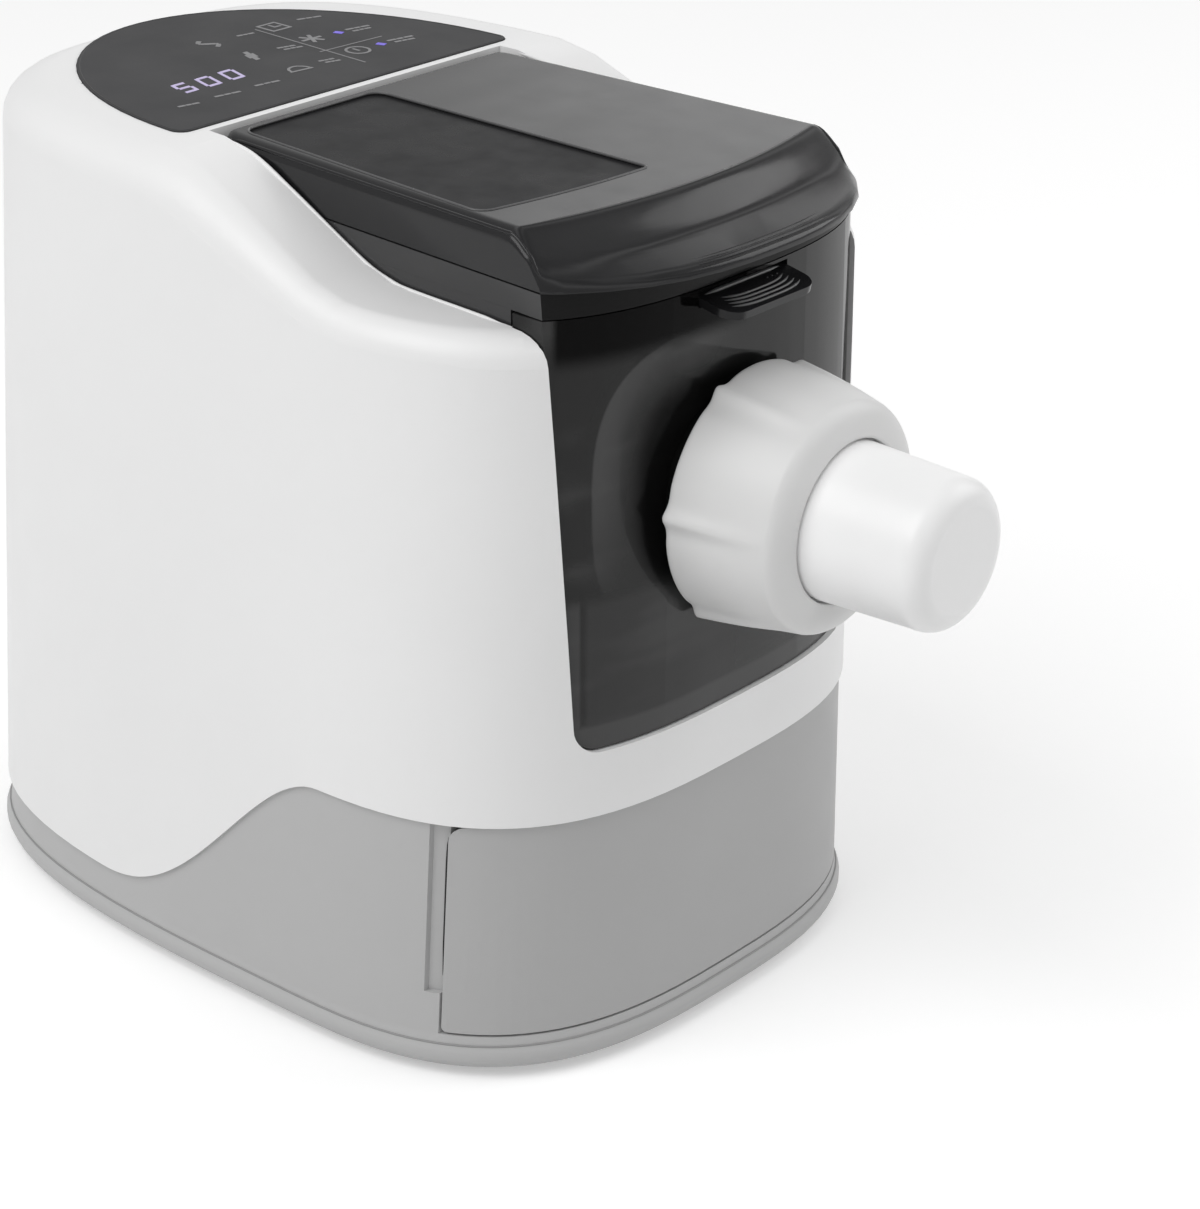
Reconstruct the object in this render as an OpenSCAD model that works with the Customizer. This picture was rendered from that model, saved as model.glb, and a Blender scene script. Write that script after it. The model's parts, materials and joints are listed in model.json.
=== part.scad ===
// Electric pasta maker: mixing hopper with a smoked lid, geared motor, screw extruder and storage drawer.
// X is the width, -Y the front, +Z up. Lengths are millimetres.
// Heights are written from the rim of the base; the model stands on its feet at z = 0.

/* [Body] */
// Height of the body above the base rim
body_h = 290; // [280:1:300]
// Width of the body at the base rim
body_w = 235.5; // [230:0.5:245]
// Reach of the body from its widest line to the front
front_reach = 104.2; // [102:0.2:108]
// Reach of the body from its widest line to the back
rear_reach = 202.4; // [198:0.2:212]
// Lean of the walls, inward for each millimetre of height
taper = 0.029; // [0.025:0.001:0.032]
// Squareness of the plan at the front (2 is an ellipse)
front_round = 2.9; // [2.7:0.1:3.1]
// Squareness of the plan at the back
rear_round = 3.3; // [3:0.1:3.6]
// Radius of the rounded top edge
shoulder_r = 14; // [11:0.5:16]
// Radius of the rounded top edge beside the front window
shoulder_front_r = 10; // [8:0.5:12]
// Wall thickness of the white shell
wall_t = 3; // [2.4:0.1:3.4]

/* [Side line and skirt] */
// Fall of the side walls from the control panel to the front
side_drop = 31.1; // [28:0.1:33]
// Where the side walls start to fall
drop_y = 74.5; // [72:0.5:76]
// Length over which they fall
drop_len = 96; // [88:1:104]
// Height of the shell's lower edge at the back
skirt_rear_z = 21.3; // [18:0.1:26]
// Height of the shell's lower edge at the front, over the drawer
skirt_front_z = 90.5; // [88:0.5:94]
// Where the lower edge starts to rise
skirt_y = 96.5; // [90:0.5:102]
// Length over which it rises
skirt_len = 110; // [100:1:118]
// Step of the grey base behind the shell's lower edge
skirt_step = 1.3; // [0.8:0.1:1.6]

/* [Hopper well] */
// Back wall of the well
well_back_y = 75; // [74:0.5:77]
// Width of the well at its top back corners
well_w = 146.6; // [145:0.2:149]
// Widening of the well towards the front, each side, per millimetre
well_flare = 0.0645; // [0.06:0.0005:0.068]
// Narrowing of the well downwards, each side, per millimetre
well_draft = 0.053; // [0.048:0.001:0.058]
// Floor of the well, as a share of the height between the drawer and the chamber
floor_share = 0.35; // [0.3:0.01:0.4]
// Sill of the front window, as a share of the height between the drawer and the barrel
sill_share = 0.45; // [0.4:0.01:0.5]
// Corner radius of the front window
window_r = 10; // [7:0.5:13]

/* [Mixing chamber] */
// Depth of the shaft that mixes and extrudes below the body's top
axis_drop = 100; // [98:0.5:102]
// Radius of the trough
trough_r = 58; // [55:0.5:59]
// How much narrower the chamber is inside than the well
chamber_in = 14.6; // [13.6:0.2:18]
// Wall of the chamber
chamber_t = 3; // [2.5:0.1:3.2]
// Outer face of the chamber's front wall
chamber_front_y = -66; // [-68:0.5:-64]
// Gap between the chamber and the well
chamber_gap = 0.8; // [0.5:0.1:1]

/* [Lid] */
// Depth of the lid's lower face below the body's top
seam_drop = 17; // [15.5:0.5:19]
// Gap between the lid and the rim of the chamber
seam_gap = 0.6; // [0.5:0.1:1]
// Gap between the lid and the well
lid_gap = 0.8; // [0.5:0.1:1.1]
// Rear edge of the lid
lid_back_y = 72; // [71:0.2:72.6]
// Thickness of the lid
lid_t = 3; // [2.4:0.1:3.4]
// Front of the lip at the centre
lip_y = -107; // [-110:0.5:-105]
// How far the lip falls back at its ends
lip_fall = 27; // [24:0.5:29]
// Thickness of the lip at its edge
lip_t = 3.4; // [2.6:0.1:4.2]
// Depth of the recess in the lid's top
recess_d = 0.8; // [0.5:0.1:1.8]
// Radius of the hinge pins
hinge_r = 2.2; // [1.8:0.1:2.4]
// Height of the hinge below the body's top
hinge_drop = 5.5; // [5:0.1:6]
// Distance of the hinge from the lid's rear edge
hinge_in = 3; // [2.8:0.1:3.4]

/* [Front panel and extruder] */
// Thickness of the front panel
panel_t = 3; // [2.5:0.1:3.4]
// Depth of the front panel's face behind the shell
panel_recess = 1.6; // [1.2:0.1:1.9]
// Gap around the front panel
panel_gap = 0.6; // [0.4:0.1:1]
// Depth of the front panel's top edge below the body's top
panel_drop = 26.4; // [26:0.2:28]
// Bore of the extrusion barrel
barrel_r = 20; // [18:0.5:21]
// Outside radius of the barrel's head, inside the nut
head_r = 34; // [33:0.5:34.5]
// Radius of the barrel's flange
flange_r = 48; // [46:0.5:50]
// Back face of the lock nut
nut_back_y = -100.5; // [-101.5:0.1:-100.3]
// Length of the lock nut
nut_len = 41.5; // [39:0.5:44]
// Radius of the lock nut at its back
nut_r = 44; // [42.5:0.5:46]
// Radius of the lock nut before its rounded front
nut_front_r = 40; // [39:0.5:41.5]
// Radius of the nut's mouth
nut_mouth_r = 28.1; // [27.9:0.1:29]
// Number of grip ribs
rib_count = 6; // [5:1:8]
// Length of the outlet hood beyond the nut
hood_len = 45; // [40:0.5:50]
// Radius of the outlet hood at the nut
hood_r = 27.2; // [26:0.1:27.5]
// Radius of the outlet hood at its closed end
hood_end_r = 25.7; // [24.5:0.1:26.2]
// Rounding of the hood's closed end
hood_round = 8.2; // [6:0.2:10]
// Thickness of the pasta die
die_t = 5; // [4:0.5:6]

/* [Release tab] */
// Width of the release tab
tab_w = 46; // [42:1:54]
// Reach of the release tab in front of the panel
tab_reach = 13.5; // [12:0.5:20]
// Depth of the release tab's top face below the panel's top edge
tab_drop = 2.1; // [2:0.1:4]
// Thickness of the release tab
tab_t = 2.8; // [2.4:0.1:3.4]
// Fall of the release tab towards its front, in degrees
tab_slope = 11; // [0:1:12]

/* [Drawer] */
// Side edge of the drawer front
drawer_y = -62; // [-66:0.5:-58]
// Bottom edge of the drawer front
drawer_z = 12.5; // [11.5:0.1:14]
// Width of the drawer's bin
bin_w = 178; // [170:1:182]
// Back of the drawer's bin
bin_back_y = 60; // [50:1:62]
// Wall of the drawer's bin
bin_t = 2.2; // [1.8:0.1:2.8]
// Gap around the drawer front
drawer_gap = 0.8; // [0.5:0.1:1.1]
// Width of the finger recess beside the drawer
finger_w = 5; // [4:0.5:7]

/* [Base and feet] */
// Height of the rubber feet
foot_h = 4; // [3:0.5:6]
// Radius of the rubber feet
foot_r = 9.6; // [8:0.2:11]
// Distance of the feet from the body's sides
foot_in = 34.25; // [31:0.25:40]
// Place of the front feet
foot_front_y = -62.5; // [-66:0.5:-58]
// Distance of the rear feet from the body's back
foot_rear_in = 44.4; // [41:0.2:52]
// Thickness of the base's floor
floor_t = 3; // [2.5:0.1:3.5]
// Width of the bead round the base beyond the body
bead_out = 0.4; // [0.2:0.1:1]

/* [Control panel] */
// Front edge of the control panel
control_y = 78.4; // [78.2:0.1:80]
// Half width of the control panel at its front
control_w = 83; // [80:0.5:84]
// Distance of the control panel from the body's back
control_in = 16; // [14:1:24]
// How far the control panel stands proud
control_proud = 0.6; // [0.3:0.1:0.8]

/* [Drive] */
// Teeth of the output gear
out_teeth = 48; // [44:2:48]
// Teeth of the small gear on the stage shaft
stage_pinion_teeth = 12; // [12:1:14]
// Module of the output pair
out_module = 2; // [1.8:0.1:2]
// Teeth of the large gear on the stage shaft
stage_teeth = 48; // [44:2:50]
// Teeth of the motor pinion
motor_teeth = 12; // [12:1:14]
// Module of the motor pair
motor_module = 1.25; // [1.1:0.05:1.3]
// Height of the motor's axis below the output axis
motor_drop = 88; // [84:0.5:90]
// Radius of the motor
motor_r = 36; // [32:0.5:38]
// Distance of the motor from the body's back
motor_in = 22.4; // [20.4:0.2:30]
// Radius of the output shaft
shaft_r = 6; // [5:0.25:6.5]

/* [Fits] */
// Radial running clearance of a shaft in its bore
run_gap = 0.05; // [0.03:0.01:0.08]
// Gap between curved faces of moving pieces
slip_gap = 0.3; // [0.2:0.05:0.4]
// Gap between flat faces of moving pieces
face_gap = 0.2; // [0.15:0.05:0.3]

/* [Hidden] */
$fn = 96;
// Points round the plan of the body; a multiple of four keeps it symmetric
plan_n = 96;
// Overshoot of a cutting solid past the face it cuts
over = 1;
// Reach of solids that cut right through the body
far = 400;

// ---- Heights and lengths that follow from the body ----

axis_z = body_h - axis_drop;
seam_z = body_h - seam_drop;
panel_top_z = body_h - panel_drop;
tab_z = panel_top_z - tab_drop;
well_floor_z = skirt_front_z + floor_share * (axis_z - trough_r - chamber_t - skirt_front_z);
sill_z = skirt_front_z + sill_share * (axis_z - flange_r - skirt_front_z);
chamber_w = well_w - chamber_in;
foot_x = body_w / 2 - foot_in;
foot_rear_y = rear_reach - foot_rear_in;
control_len = rear_reach - control_in - control_y;

// ---- Shape of the body ----

function smooth(t) = t * t * (3 - 2 * t);
function unit(t) = min(1, max(0, t));
function lean(z) = taper * z;
function signed_pow(v, p) = sign(v) * pow(abs(v), p);

// Height of the top edge, which falls along the sides
function land_z(y) = body_h - side_drop * smooth(unit((drop_y - y) / drop_len));

// Radius of the rounded top edge, which tightens towards the front
function shoulder(y) =
    shoulder_r + (shoulder_front_r - shoulder_r) * smooth(unit((drop_y - y) / drop_len));

// Height of the shell's lower edge; it lags, so the rise starts gently
skirt_lag = 1.27;
function skirt_z(y) =
    skirt_rear_z
    + (skirt_front_z - skirt_rear_z) * smooth(pow(unit((skirt_y - y) / skirt_len), skirt_lag));

// Point of the plan at parameter t, moved in from the body's outline at the rim
function plan_pt(t, inset) =
    let (rear = sin(t) > 0)
    let (n = rear ? rear_round : front_round)
    let (reach = (rear ? rear_reach : front_reach) - inset)
    [(body_w / 2 - inset) * signed_pow(cos(t), 2 / n), reach * signed_pow(sin(t), 2 / n)];

function plan_ring(inset, z) =
    [for (i = [0:plan_n - 1]) let (p = plan_pt(-90 + 360 * i / plan_n, inset)) [p[0], p[1], z]];

// Front face of the body, moved in by inset, at the side offset x and height z
function front_y(x, z, inset = 0) =
    let (half = body_w / 2 - lean(z) - inset)
    let (reach = front_reach - lean(z) - inset)
    -reach * pow(1 - pow(abs(x) / half, front_round), 1 / front_round);

// Rear face of the body at the side offset x and height z
function rear_y(x, z, inset = 0) =
    let (half = body_w / 2 - lean(z) - inset)
    let (reach = rear_reach - lean(z) - inset)
    reach * pow(1 - pow(abs(x) / half, rear_round), 1 / rear_round);

// Solid through rings of points, each listed counterclockwise from the front centre
module skin(rings) {
    n = len(rings[0]);
    last = (len(rings) - 1) * n;
    sides = [
        for (k = [0:len(rings) - 2], i = [0:n - 1])
            [k * n + i, (k + 1) * n + i, (k + 1) * n + (i + 1) % n, k * n + (i + 1) % n]
    ];
    // A strip from a point to its mirror point, so a cap that rises from front to back stays ruled
    strips = [
        for (i = [0:n / 2 - 1])
            i == 0 ? [0, 1, n - 1]
            : i == n / 2 - 1 ? [i, i + 1, n - i]
            : [i, i + 1, n - i - 1, n - i]
    ];
    caps = concat(strips, [for (s = strips) [for (j = [len(s) - 1:-1:0]) s[j] + last]]);
    polyhedron(points = [for (r = rings) each r], faces = concat(sides, caps), convexity = 6);
}

// The body's form, with its rounded top edge, moved in by off and starting at z0
module body_form(off, z0) {
    steps = 6;
    fillet = [
        for (e = [0:steps])
            [
                for (i = [0:plan_n - 1])
                    let (t = -90 + 360 * i / plan_n)
                    let (y = plan_pt(t, lean(body_h))[1])
                    let (top = land_z(y) - off, r = shoulder(y) - off)
                    let (a = 90 * e / steps)
                    let (p = plan_pt(t, off + lean(top - r) + r * (1 - cos(a))))
                    [p[0], p[1], top - r + r * sin(a)]
            ]
    ];
    skin(concat([plan_ring(off + lean(z0), z0)], fillet));
}

// Straight stretch of the body's form between two heights
module body_band(off, z0, z1) {
    skin([plan_ring(off + lean(z0), z0), plan_ring(off + lean(z1), z1)]);
}

// Everything below the skirt line raised by up
module under_skirt(up) {
    span = skirt_len + 20;
    steps = 40;
    curve = [for (i = [0:steps]) let (y = skirt_y - span * i / steps) [y, skirt_z(y) + up]];
    outline = concat([[-far, -far], [far, -far], [far, skirt_rear_z + up]], curve,
        [[-far, skirt_front_z + up]]);
    translate([-far, 0, 0])
        rotate([90, 0, 90])
            linear_extrude(2 * far)
                polygon(outline);
}

// ---- Placing helpers ----

hood_tip_y = nut_back_y - nut_len - hood_len;
frame_y = -(hood_tip_y + rear_reach + bead_out) / 2;

// From the base rim's heights to the model's own frame, standing on its feet
module placed() {
    translate([0, frame_y, foot_h]) children();
}

// A drawing in X and Z, extruded from y0 to y1
module along_y(y0, y1) {
    translate([0, y1, 0])
        rotate([90, 0, 0])
            linear_extrude(y1 - y0)
                children();
}

// A disc about an axis along Y
module disc(r, y0, y1, x = 0, z = axis_z) {
    translate([x, y1, z])
        rotate([90, 0, 0])
            cylinder(r = r, h = y1 - y0);
}

module ring(r_out, r_in, y0, y1, x = 0, z = axis_z) {
    difference() {
        disc(r_out, y0, y1, x, z);
        disc(r_in, y0 - over, y1 + over, x, z);
    }
}

// A profile of radius and distance forward, turned about the extrusion axis
module turned(y) {
    translate([0, y, axis_z])
        rotate([90, 0, 0])
            rotate_extrude()
                children();
}

// A box between two corners
module box(low, high) {
    translate(low) cube(high - low);
}

function arc(cx, cy, r, a0, a1, steps = 12) =
    [for (i = [0:steps]) let (a = a0 + (a1 - a0) * i / steps) [cx + r * cos(a), cy + r * sin(a)]];

// Upright rounded slab
module rounded_slab(w, d, h, r) {
    linear_extrude(h)
        polygon(concat(
            arc(w / 2 - r, d / 2 - r, r, 0, 90, 6), arc(-w / 2 + r, d / 2 - r, r, 90, 180, 6),
            arc(-w / 2 + r, -d / 2 + r, r, 180, 270, 6), arc(w / 2 - r, -d / 2 + r, r, 270, 360, 6)));
}

// ---- Well and window ----

// Half width of the well at depth y and height z
function well_half(y, z) = well_w / 2 + well_flare * (well_back_y - y) - well_draft * (body_h - z);

// The well's space grown by g on its sides and back, from z0 up to z1 and forward to y0
module well_block(g, y0, z0, z1, y1 = well_back_y) {
    function corner(y, z, g) = well_half(y, z) + g;
    back = y1 + g;
    points = [
        for (z = [z0, z1])
            each [
                [-corner(y0, z, g), y0, z], [corner(y0, z, g), y0, z],
                [corner(back, z, g), back, z], [-corner(back, z, g), back, z]
            ]
    ];
    polyhedron(points = points, faces = [
        [0, 1, 2, 3], [7, 6, 5, 4], [0, 4, 5, 1], [1, 5, 6, 2], [2, 6, 7, 3], [3, 7, 4, 0]
    ]);
}

window_y = chamber_front_y - 12;

// Drawing of the front window, moved in by g, up to z1
module window_drawing(g, z1) {
    r = window_r - g;
    low = sill_z + g;
    low_x = well_half(window_y, low) - g;
    top_x = well_half(window_y, z1) - g;
    polygon(concat(
        [[top_x, z1], [-top_x, z1]],
        arc(-low_x + r, low + r, r, 180, 270, 8),
        arc(low_x - r, low + r, r, 270, 360, 8)));
}

// ---- White shell ----

vent_count = 9;
vent_w = 3;
vent_h = 26;
vent_pitch = 8;
vent_x = -30;
vent_z = 58;
inlet_x = 26;
inlet_z = 50;
inlet_w = 31;
inlet_h = 25;
control_t = 1.6;
control_floor = body_h + control_proud - control_t;
display_w = 64;
display_d = 26;
display_x = -34;
display_y = 132;
hinge_y = lid_back_y - hinge_in;
hinge_z = body_h - hinge_drop;
shell_low_z = 12;
// Nothing but the rear wall lies behind this line
rear_cut_y = 150;

module hinge_axis(r, span) {
    translate([-span / 2, hinge_y, hinge_z])
        rotate([0, 90, 0])
            cylinder(r = r, h = span);
}

// Half ellipse behind a straight front edge with rounded corners, grown by g
module control_drawing(g) {
    r = 5;
    w = control_w + g;
    start = asin((r + g) / control_len);
    polygon(concat(
        arc(w - r, control_y - g + r, r, -90, 0, 5),
        [
            for (i = [1:35])
                let (t = start + (180 - 2 * start) * i / 36)
                [w * cos(t), control_y + (control_len + g) * sin(t)]
        ],
        arc(-w + r, control_y - g + r, r, 180, 270, 5)));
}

module display_opening(g, z0, z1) {
    box([display_x - display_w / 2 - g, display_y - display_d / 2 - g, z0],
        [display_x + display_w / 2 + g, display_y + display_d / 2 + g, z1]);
}

module body_shell() {
    color("whitesmoke")
        placed()
            difference() {
                body_form(0, shell_low_z);
                difference() {
                    body_form(wall_t, shell_low_z - over);
                    well_block(wall_t, -far, well_floor_z - wall_t, far);
                }
                well_block(0, window_y, well_floor_z, far);
                along_y(-far, chamber_front_y) window_drawing(0, body_h + over);
                under_skirt(0);
                translate([0, 0, control_floor]) linear_extrude(control_t) control_drawing(face_gap);
                display_opening(face_gap, body_h - wall_t - over, body_h);
                disc(shaft_hole_r, well_back_y - over, well_back_y + wall_t + over);
                hinge_axis(hinge_r + run_gap, 2 * (well_half(hinge_y, hinge_z) + wall_t + over));
                for (i = [0:vent_count - 1])
                    let (x = vent_x + (i - (vent_count - 1) / 2) * vent_pitch)
                    box([x - vent_w / 2, rear_cut_y, vent_z], [x + vent_w / 2, far, vent_z + vent_h]);
                box([inlet_x - inlet_w / 2, rear_cut_y, inlet_z - inlet_h / 2],
                    [inlet_x + inlet_w / 2, far, inlet_z + inlet_h / 2]);
            }
}

// ---- Grey base ----

// The base's lip stands inside the shell by this gap and this much above the skirt
lip_gap = 0.3;
lip_up = 6;
base_wall = 2.2;
base_in = wall_t + lip_gap + base_wall;
finger_z = 27;
finger_d = 2;
rail_w = 18;
guide_t = 3;
guide_z = 26;
screw_x = 66;
screw_r = 1.9;
screw_head_r = 3.7;
screw_head_t = 1.5;

// Outline of the base: a bead at the foot, a cove over it, then the leaning wall
module base_form() {
    bead = -bead_out;
    wall_z = drawer_z;
    skin([
        plan_ring(bead + 2, 0),
        plan_ring(bead + 0.7, 1.2),
        plan_ring(bead, 3),
        plan_ring(bead, 5.4),
        plan_ring(bead + 0.5, 7),
        plan_ring(lean(wall_z) + skirt_step - 0.4, 9),
        plan_ring(lean(wall_z) + skirt_step, wall_z),
        plan_ring(lean(skirt_front_z) + skirt_step, skirt_front_z)
    ]);
}

module mirrored() {
    children();
    mirror([1, 0, 0]) children();
}

module base_tray() {
    bay_back = drawer_y + drawer_gap;
    color("darkgray")
        placed()
            difference() {
                union() {
                    difference() {
                        union() {
                            intersection() {
                                base_form();
                                under_skirt(0);
                            }
                            intersection() {
                                body_band(wall_t + lip_gap, floor_t, skirt_front_z + lip_up);
                                under_skirt(lip_up);
                            }
                        }
                        body_band(base_in, floor_t, body_h);
                        // The drawer front closes this side of the bay
                        box([-far, -far, drawer_z - drawer_gap], [far, bay_back, far]);
                        difference() {
                            box([-far, bay_back, finger_z], [far, bay_back + finger_w, far]);
                            body_band(skirt_step + finger_d, 0, body_h);
                        }
                    }
                    mirrored() {
                        // Rail under the bin and guide beside it
                        box([bin_w / 2 - rail_w, drawer_y, floor_t],
                            [bin_w / 2 + slip_gap, bin_back_y, drawer_z - face_gap]);
                        box([bin_w / 2 + slip_gap, drawer_y, floor_t],
                            [bin_w / 2 + slip_gap + guide_t, bin_back_y, guide_z]);
                    }
                    // Stop behind the drawer
                    box([-bin_w / 2, bin_back_y + slip_gap, floor_t],
                        [bin_w / 2, bin_back_y + slip_gap + guide_t, guide_z]);
                }
                for (x = [-screw_x, screw_x], y = screw_y) {
                    translate([x, y, -over]) cylinder(r = screw_r, h = floor_t + 2 * over);
                    translate([x, y, -over]) cylinder(r = screw_head_r + slip_gap, h = screw_head_t + over);
                }
            }
}

module foot(x, y) {
    color("dimgray")
        translate([x, y + frame_y, 0])
            cylinder(r1 = foot_r - 0.8, r2 = foot_r, h = foot_h);
}
module foot_front_left() { foot(-foot_x, foot_front_y); }
module foot_front_right() { foot(foot_x, foot_front_y); }
module foot_rear_left() { foot(-foot_x, foot_rear_y); }
module foot_rear_right() { foot(foot_x, foot_rear_y); }

module base_screws() {
    color("silver")
        placed()
            for (x = [-screw_x, screw_x], y = screw_y)
                translate([x, y, 0]) {
                    cylinder(r = screw_head_r, h = screw_head_t);
                    cylinder(r = screw_r, h = floor_t + frame_t);
                }
}

// ---- Drive: places of the axes ----

function pitch_r(teeth, mod) = teeth * mod / 2;
tooth_up = 0.85;
tooth_down = 1.2;
function tip_r(teeth, mod) = pitch_r(teeth, mod) + tooth_up * mod;
motor_z = axis_z - motor_drop;
out_centres = pitch_r(out_teeth, out_module) + pitch_r(stage_pinion_teeth, out_module);
motor_centres = pitch_r(stage_teeth, motor_module) + pitch_r(motor_teeth, motor_module);
stage_drop = (pow(motor_drop, 2) + pow(out_centres, 2) - pow(motor_centres, 2)) / (2 * motor_drop);
stage_x = sqrt(pow(out_centres, 2) - pow(stage_drop, 2));
stage_z = axis_z - stage_drop;

case_t = 3;
case_room = 3;
case_gap = 6;
case_y = well_back_y + wall_t + case_gap;
case_front_t = 4;
case_depth = 28;
cover_t = 4;
cover_y = case_y + case_depth;
motor_y = cover_y + cover_t;
motor_len = rear_reach - motor_in - motor_y;
case_half = case_t + case_room
    + max(tip_r(out_teeth, out_module), stage_x + tip_r(stage_teeth, motor_module));
case_top = axis_z + tip_r(out_teeth, out_module) + case_room + case_t;
case_bottom = motor_z - tip_r(motor_teeth, motor_module) - case_room - case_t - 4;
frame_t = 3;
screw_y = [case_y + 8, motor_y - 8];
bearing_r = shaft_r + 5;
shaft_hole_r = shaft_r + 6;
stage_pin_r = 4;
motor_shaft_r = 2.5;
out_gear_y = case_y + 8;
out_gear_w = 9;
stage_gear_y = out_gear_y + out_gear_w + 3;
stage_gear_w = 5;

// ---- Gears ----

// Trapezoid teeth with play, so that the pair turns freely
function gear_points(teeth, mod, phase) =
    let (r = pitch_r(teeth, mod))
    let (flank = [
        [r - tooth_down * mod, 0.9 * mod], [r, 0.645 * mod], [r + tooth_up * mod, 0.336 * mod]
    ])
    [
        for (k = [0:teeth - 1])
            let (c = phase + 360 * k / teeth)
            each concat(
                [for (p = flank) let (a = c - asin(p[1] / p[0])) [p[0] * cos(a), p[0] * sin(a)]],
                [
                    for (j = [2:-1:0])
                        let (a = c + asin(flank[j][1] / flank[j][0]))
                        [flank[j][0] * cos(a), flank[j][0] * sin(a)]
                ])
    ];

module gear(teeth, mod, y0, y1, x, z, phase) {
    translate([x, 0, z])
        along_y(y0, y1)
            polygon(gear_points(teeth, mod, phase));
}

// Direction from the output axis to the stage axis, and from the stage axis to the motor axis
out_to_stage = atan2(stage_z - axis_z, stage_x);
stage_to_motor = atan2(motor_z - stage_z, -stage_x);

module output_gear() {
    spoke_holes = 6;
    color("ivory")
        placed()
            difference() {
                union() {
                    gear(out_teeth, out_module, out_gear_y, out_gear_y + out_gear_w, 0, axis_z, out_to_stage);
                    disc(shaft_r + 6, out_gear_y - 2, out_gear_y + out_gear_w + 2);
                }
                disc(shaft_r, case_y, cover_y);
                for (i = [0:spoke_holes - 1])
                    let (a = 360 * i / spoke_holes)
                    let (r = (shaft_r + 6 + pitch_r(out_teeth, out_module)) / 2)
                    disc(7, case_y, cover_y, r * cos(a), axis_z + r * sin(a));
            }
}

module stage_gear() {
    color("ivory")
        placed()
            difference() {
                union() {
                    gear(stage_pinion_teeth, out_module, out_gear_y - 1, stage_gear_y, stage_x, stage_z,
                        out_to_stage + 180 + 180 / stage_pinion_teeth);
                    gear(stage_teeth, motor_module, stage_gear_y, stage_gear_y + stage_gear_w,
                        stage_x, stage_z, stage_to_motor);
                }
                disc(stage_pin_r + run_gap, case_y, cover_y, stage_x, stage_z);
            }
}

module stage_shaft() {
    color("silver")
        placed()
            disc(stage_pin_r, case_y, motor_y, stage_x, stage_z);
}

module motor_pinion() {
    color("goldenrod")
        placed()
            difference() {
                gear(motor_teeth, motor_module, stage_gear_y - 1, stage_gear_y + stage_gear_w + 1, 0, motor_z,
                    stage_to_motor + 180 + 180 / motor_teeth);
                disc(motor_shaft_r, case_y, cover_y, 0, motor_z);
            }
}

// ---- Gearbox and motor ----

module case_drawing(g) {
    w = 2 * (case_half + g);
    h = case_top - case_bottom + 2 * g;
    r = 12 + g;
    translate([0, (case_top + case_bottom) / 2])
        polygon(concat(
            arc(w / 2 - r, h / 2 - r, r, 0, 90, 6), arc(-w / 2 + r, h / 2 - r, r, 90, 180, 6),
            arc(-w / 2 + r, -h / 2 + r, r, 180, 270, 6), arc(w / 2 - r, -h / 2 + r, r, 270, 360, 6)));
}

module gearbox_case() {
    color("dimgray")
        placed()
            difference() {
                union() {
                    along_y(case_y, cover_y) case_drawing(0);
                    // Boss that centres the gearbox on the back of the well
                    disc(bearing_r + 4, well_back_y + wall_t, case_y);
                }
                along_y(case_y + case_front_t, cover_y + over) case_drawing(-case_t);
                disc(bearing_r, well_back_y, case_y + case_front_t + over);
                disc(stage_pin_r, case_y - over, case_y + case_front_t + over, stage_x, stage_z);
            }
}

module gearbox_cover() {
    color("dimgray")
        placed()
            difference() {
                along_y(cover_y, motor_y) case_drawing(0);
                disc(shaft_r + run_gap, cover_y - over, motor_y + over);
                disc(stage_pin_r, cover_y - over, motor_y + over, stage_x, stage_z);
                disc(motor_shaft_r + 2, cover_y - over, motor_y + over, 0, motor_z);
            }
}

module output_bearing() {
    color("silver")
        placed()
            ring(bearing_r, shaft_r + run_gap, well_back_y + wall_t + 1, case_y + case_front_t);
}

module motor_case() {
    can_t = 2.5;
    color("silver")
        placed()
            difference() {
                disc(motor_r, motor_y, motor_y + motor_len, 0, motor_z);
                disc(motor_r - can_t, motor_y + can_t, motor_y + motor_len + over, 0, motor_z);
                disc(motor_shaft_r + run_gap, motor_y - over, motor_y + motor_len, 0, motor_z);
            }
}

bell_t = 4;
module motor_end_bell() {
    color("black")
        placed()
            difference() {
                union() {
                    disc(motor_r, motor_y + motor_len, motor_y + motor_len + bell_t, 0, motor_z);
                    disc(8, motor_y + motor_len, motor_y + motor_len + bell_t + 3, 0, motor_z);
                }
                disc(motor_shaft_r + run_gap, motor_y + motor_len - over, motor_y + motor_len + bell_t,
                    0, motor_z);
            }
}

module motor_rotor() {
    color("peru")
        placed() {
            disc(motor_shaft_r, stage_gear_y - 2, motor_y + motor_len + bell_t - 0.5, 0, motor_z);
            disc(motor_r * 0.62, motor_y + 10, motor_y + motor_len - 10, 0, motor_z);
        }
}

// ---- Frame and electrics ----

frame_top_z = case_top + 4;
board_z = body_h - 22;
board_w = well_w - 4;
board_front_y = well_back_y + 27;
board_back_y = rear_reach - 30.4;
board_d = board_back_y - board_front_y;
board_y = (board_front_y + board_back_y) / 2;
frame_back_y = board_back_y - 6;
pcb_t = 1.6;
post_x = 50;

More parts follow.
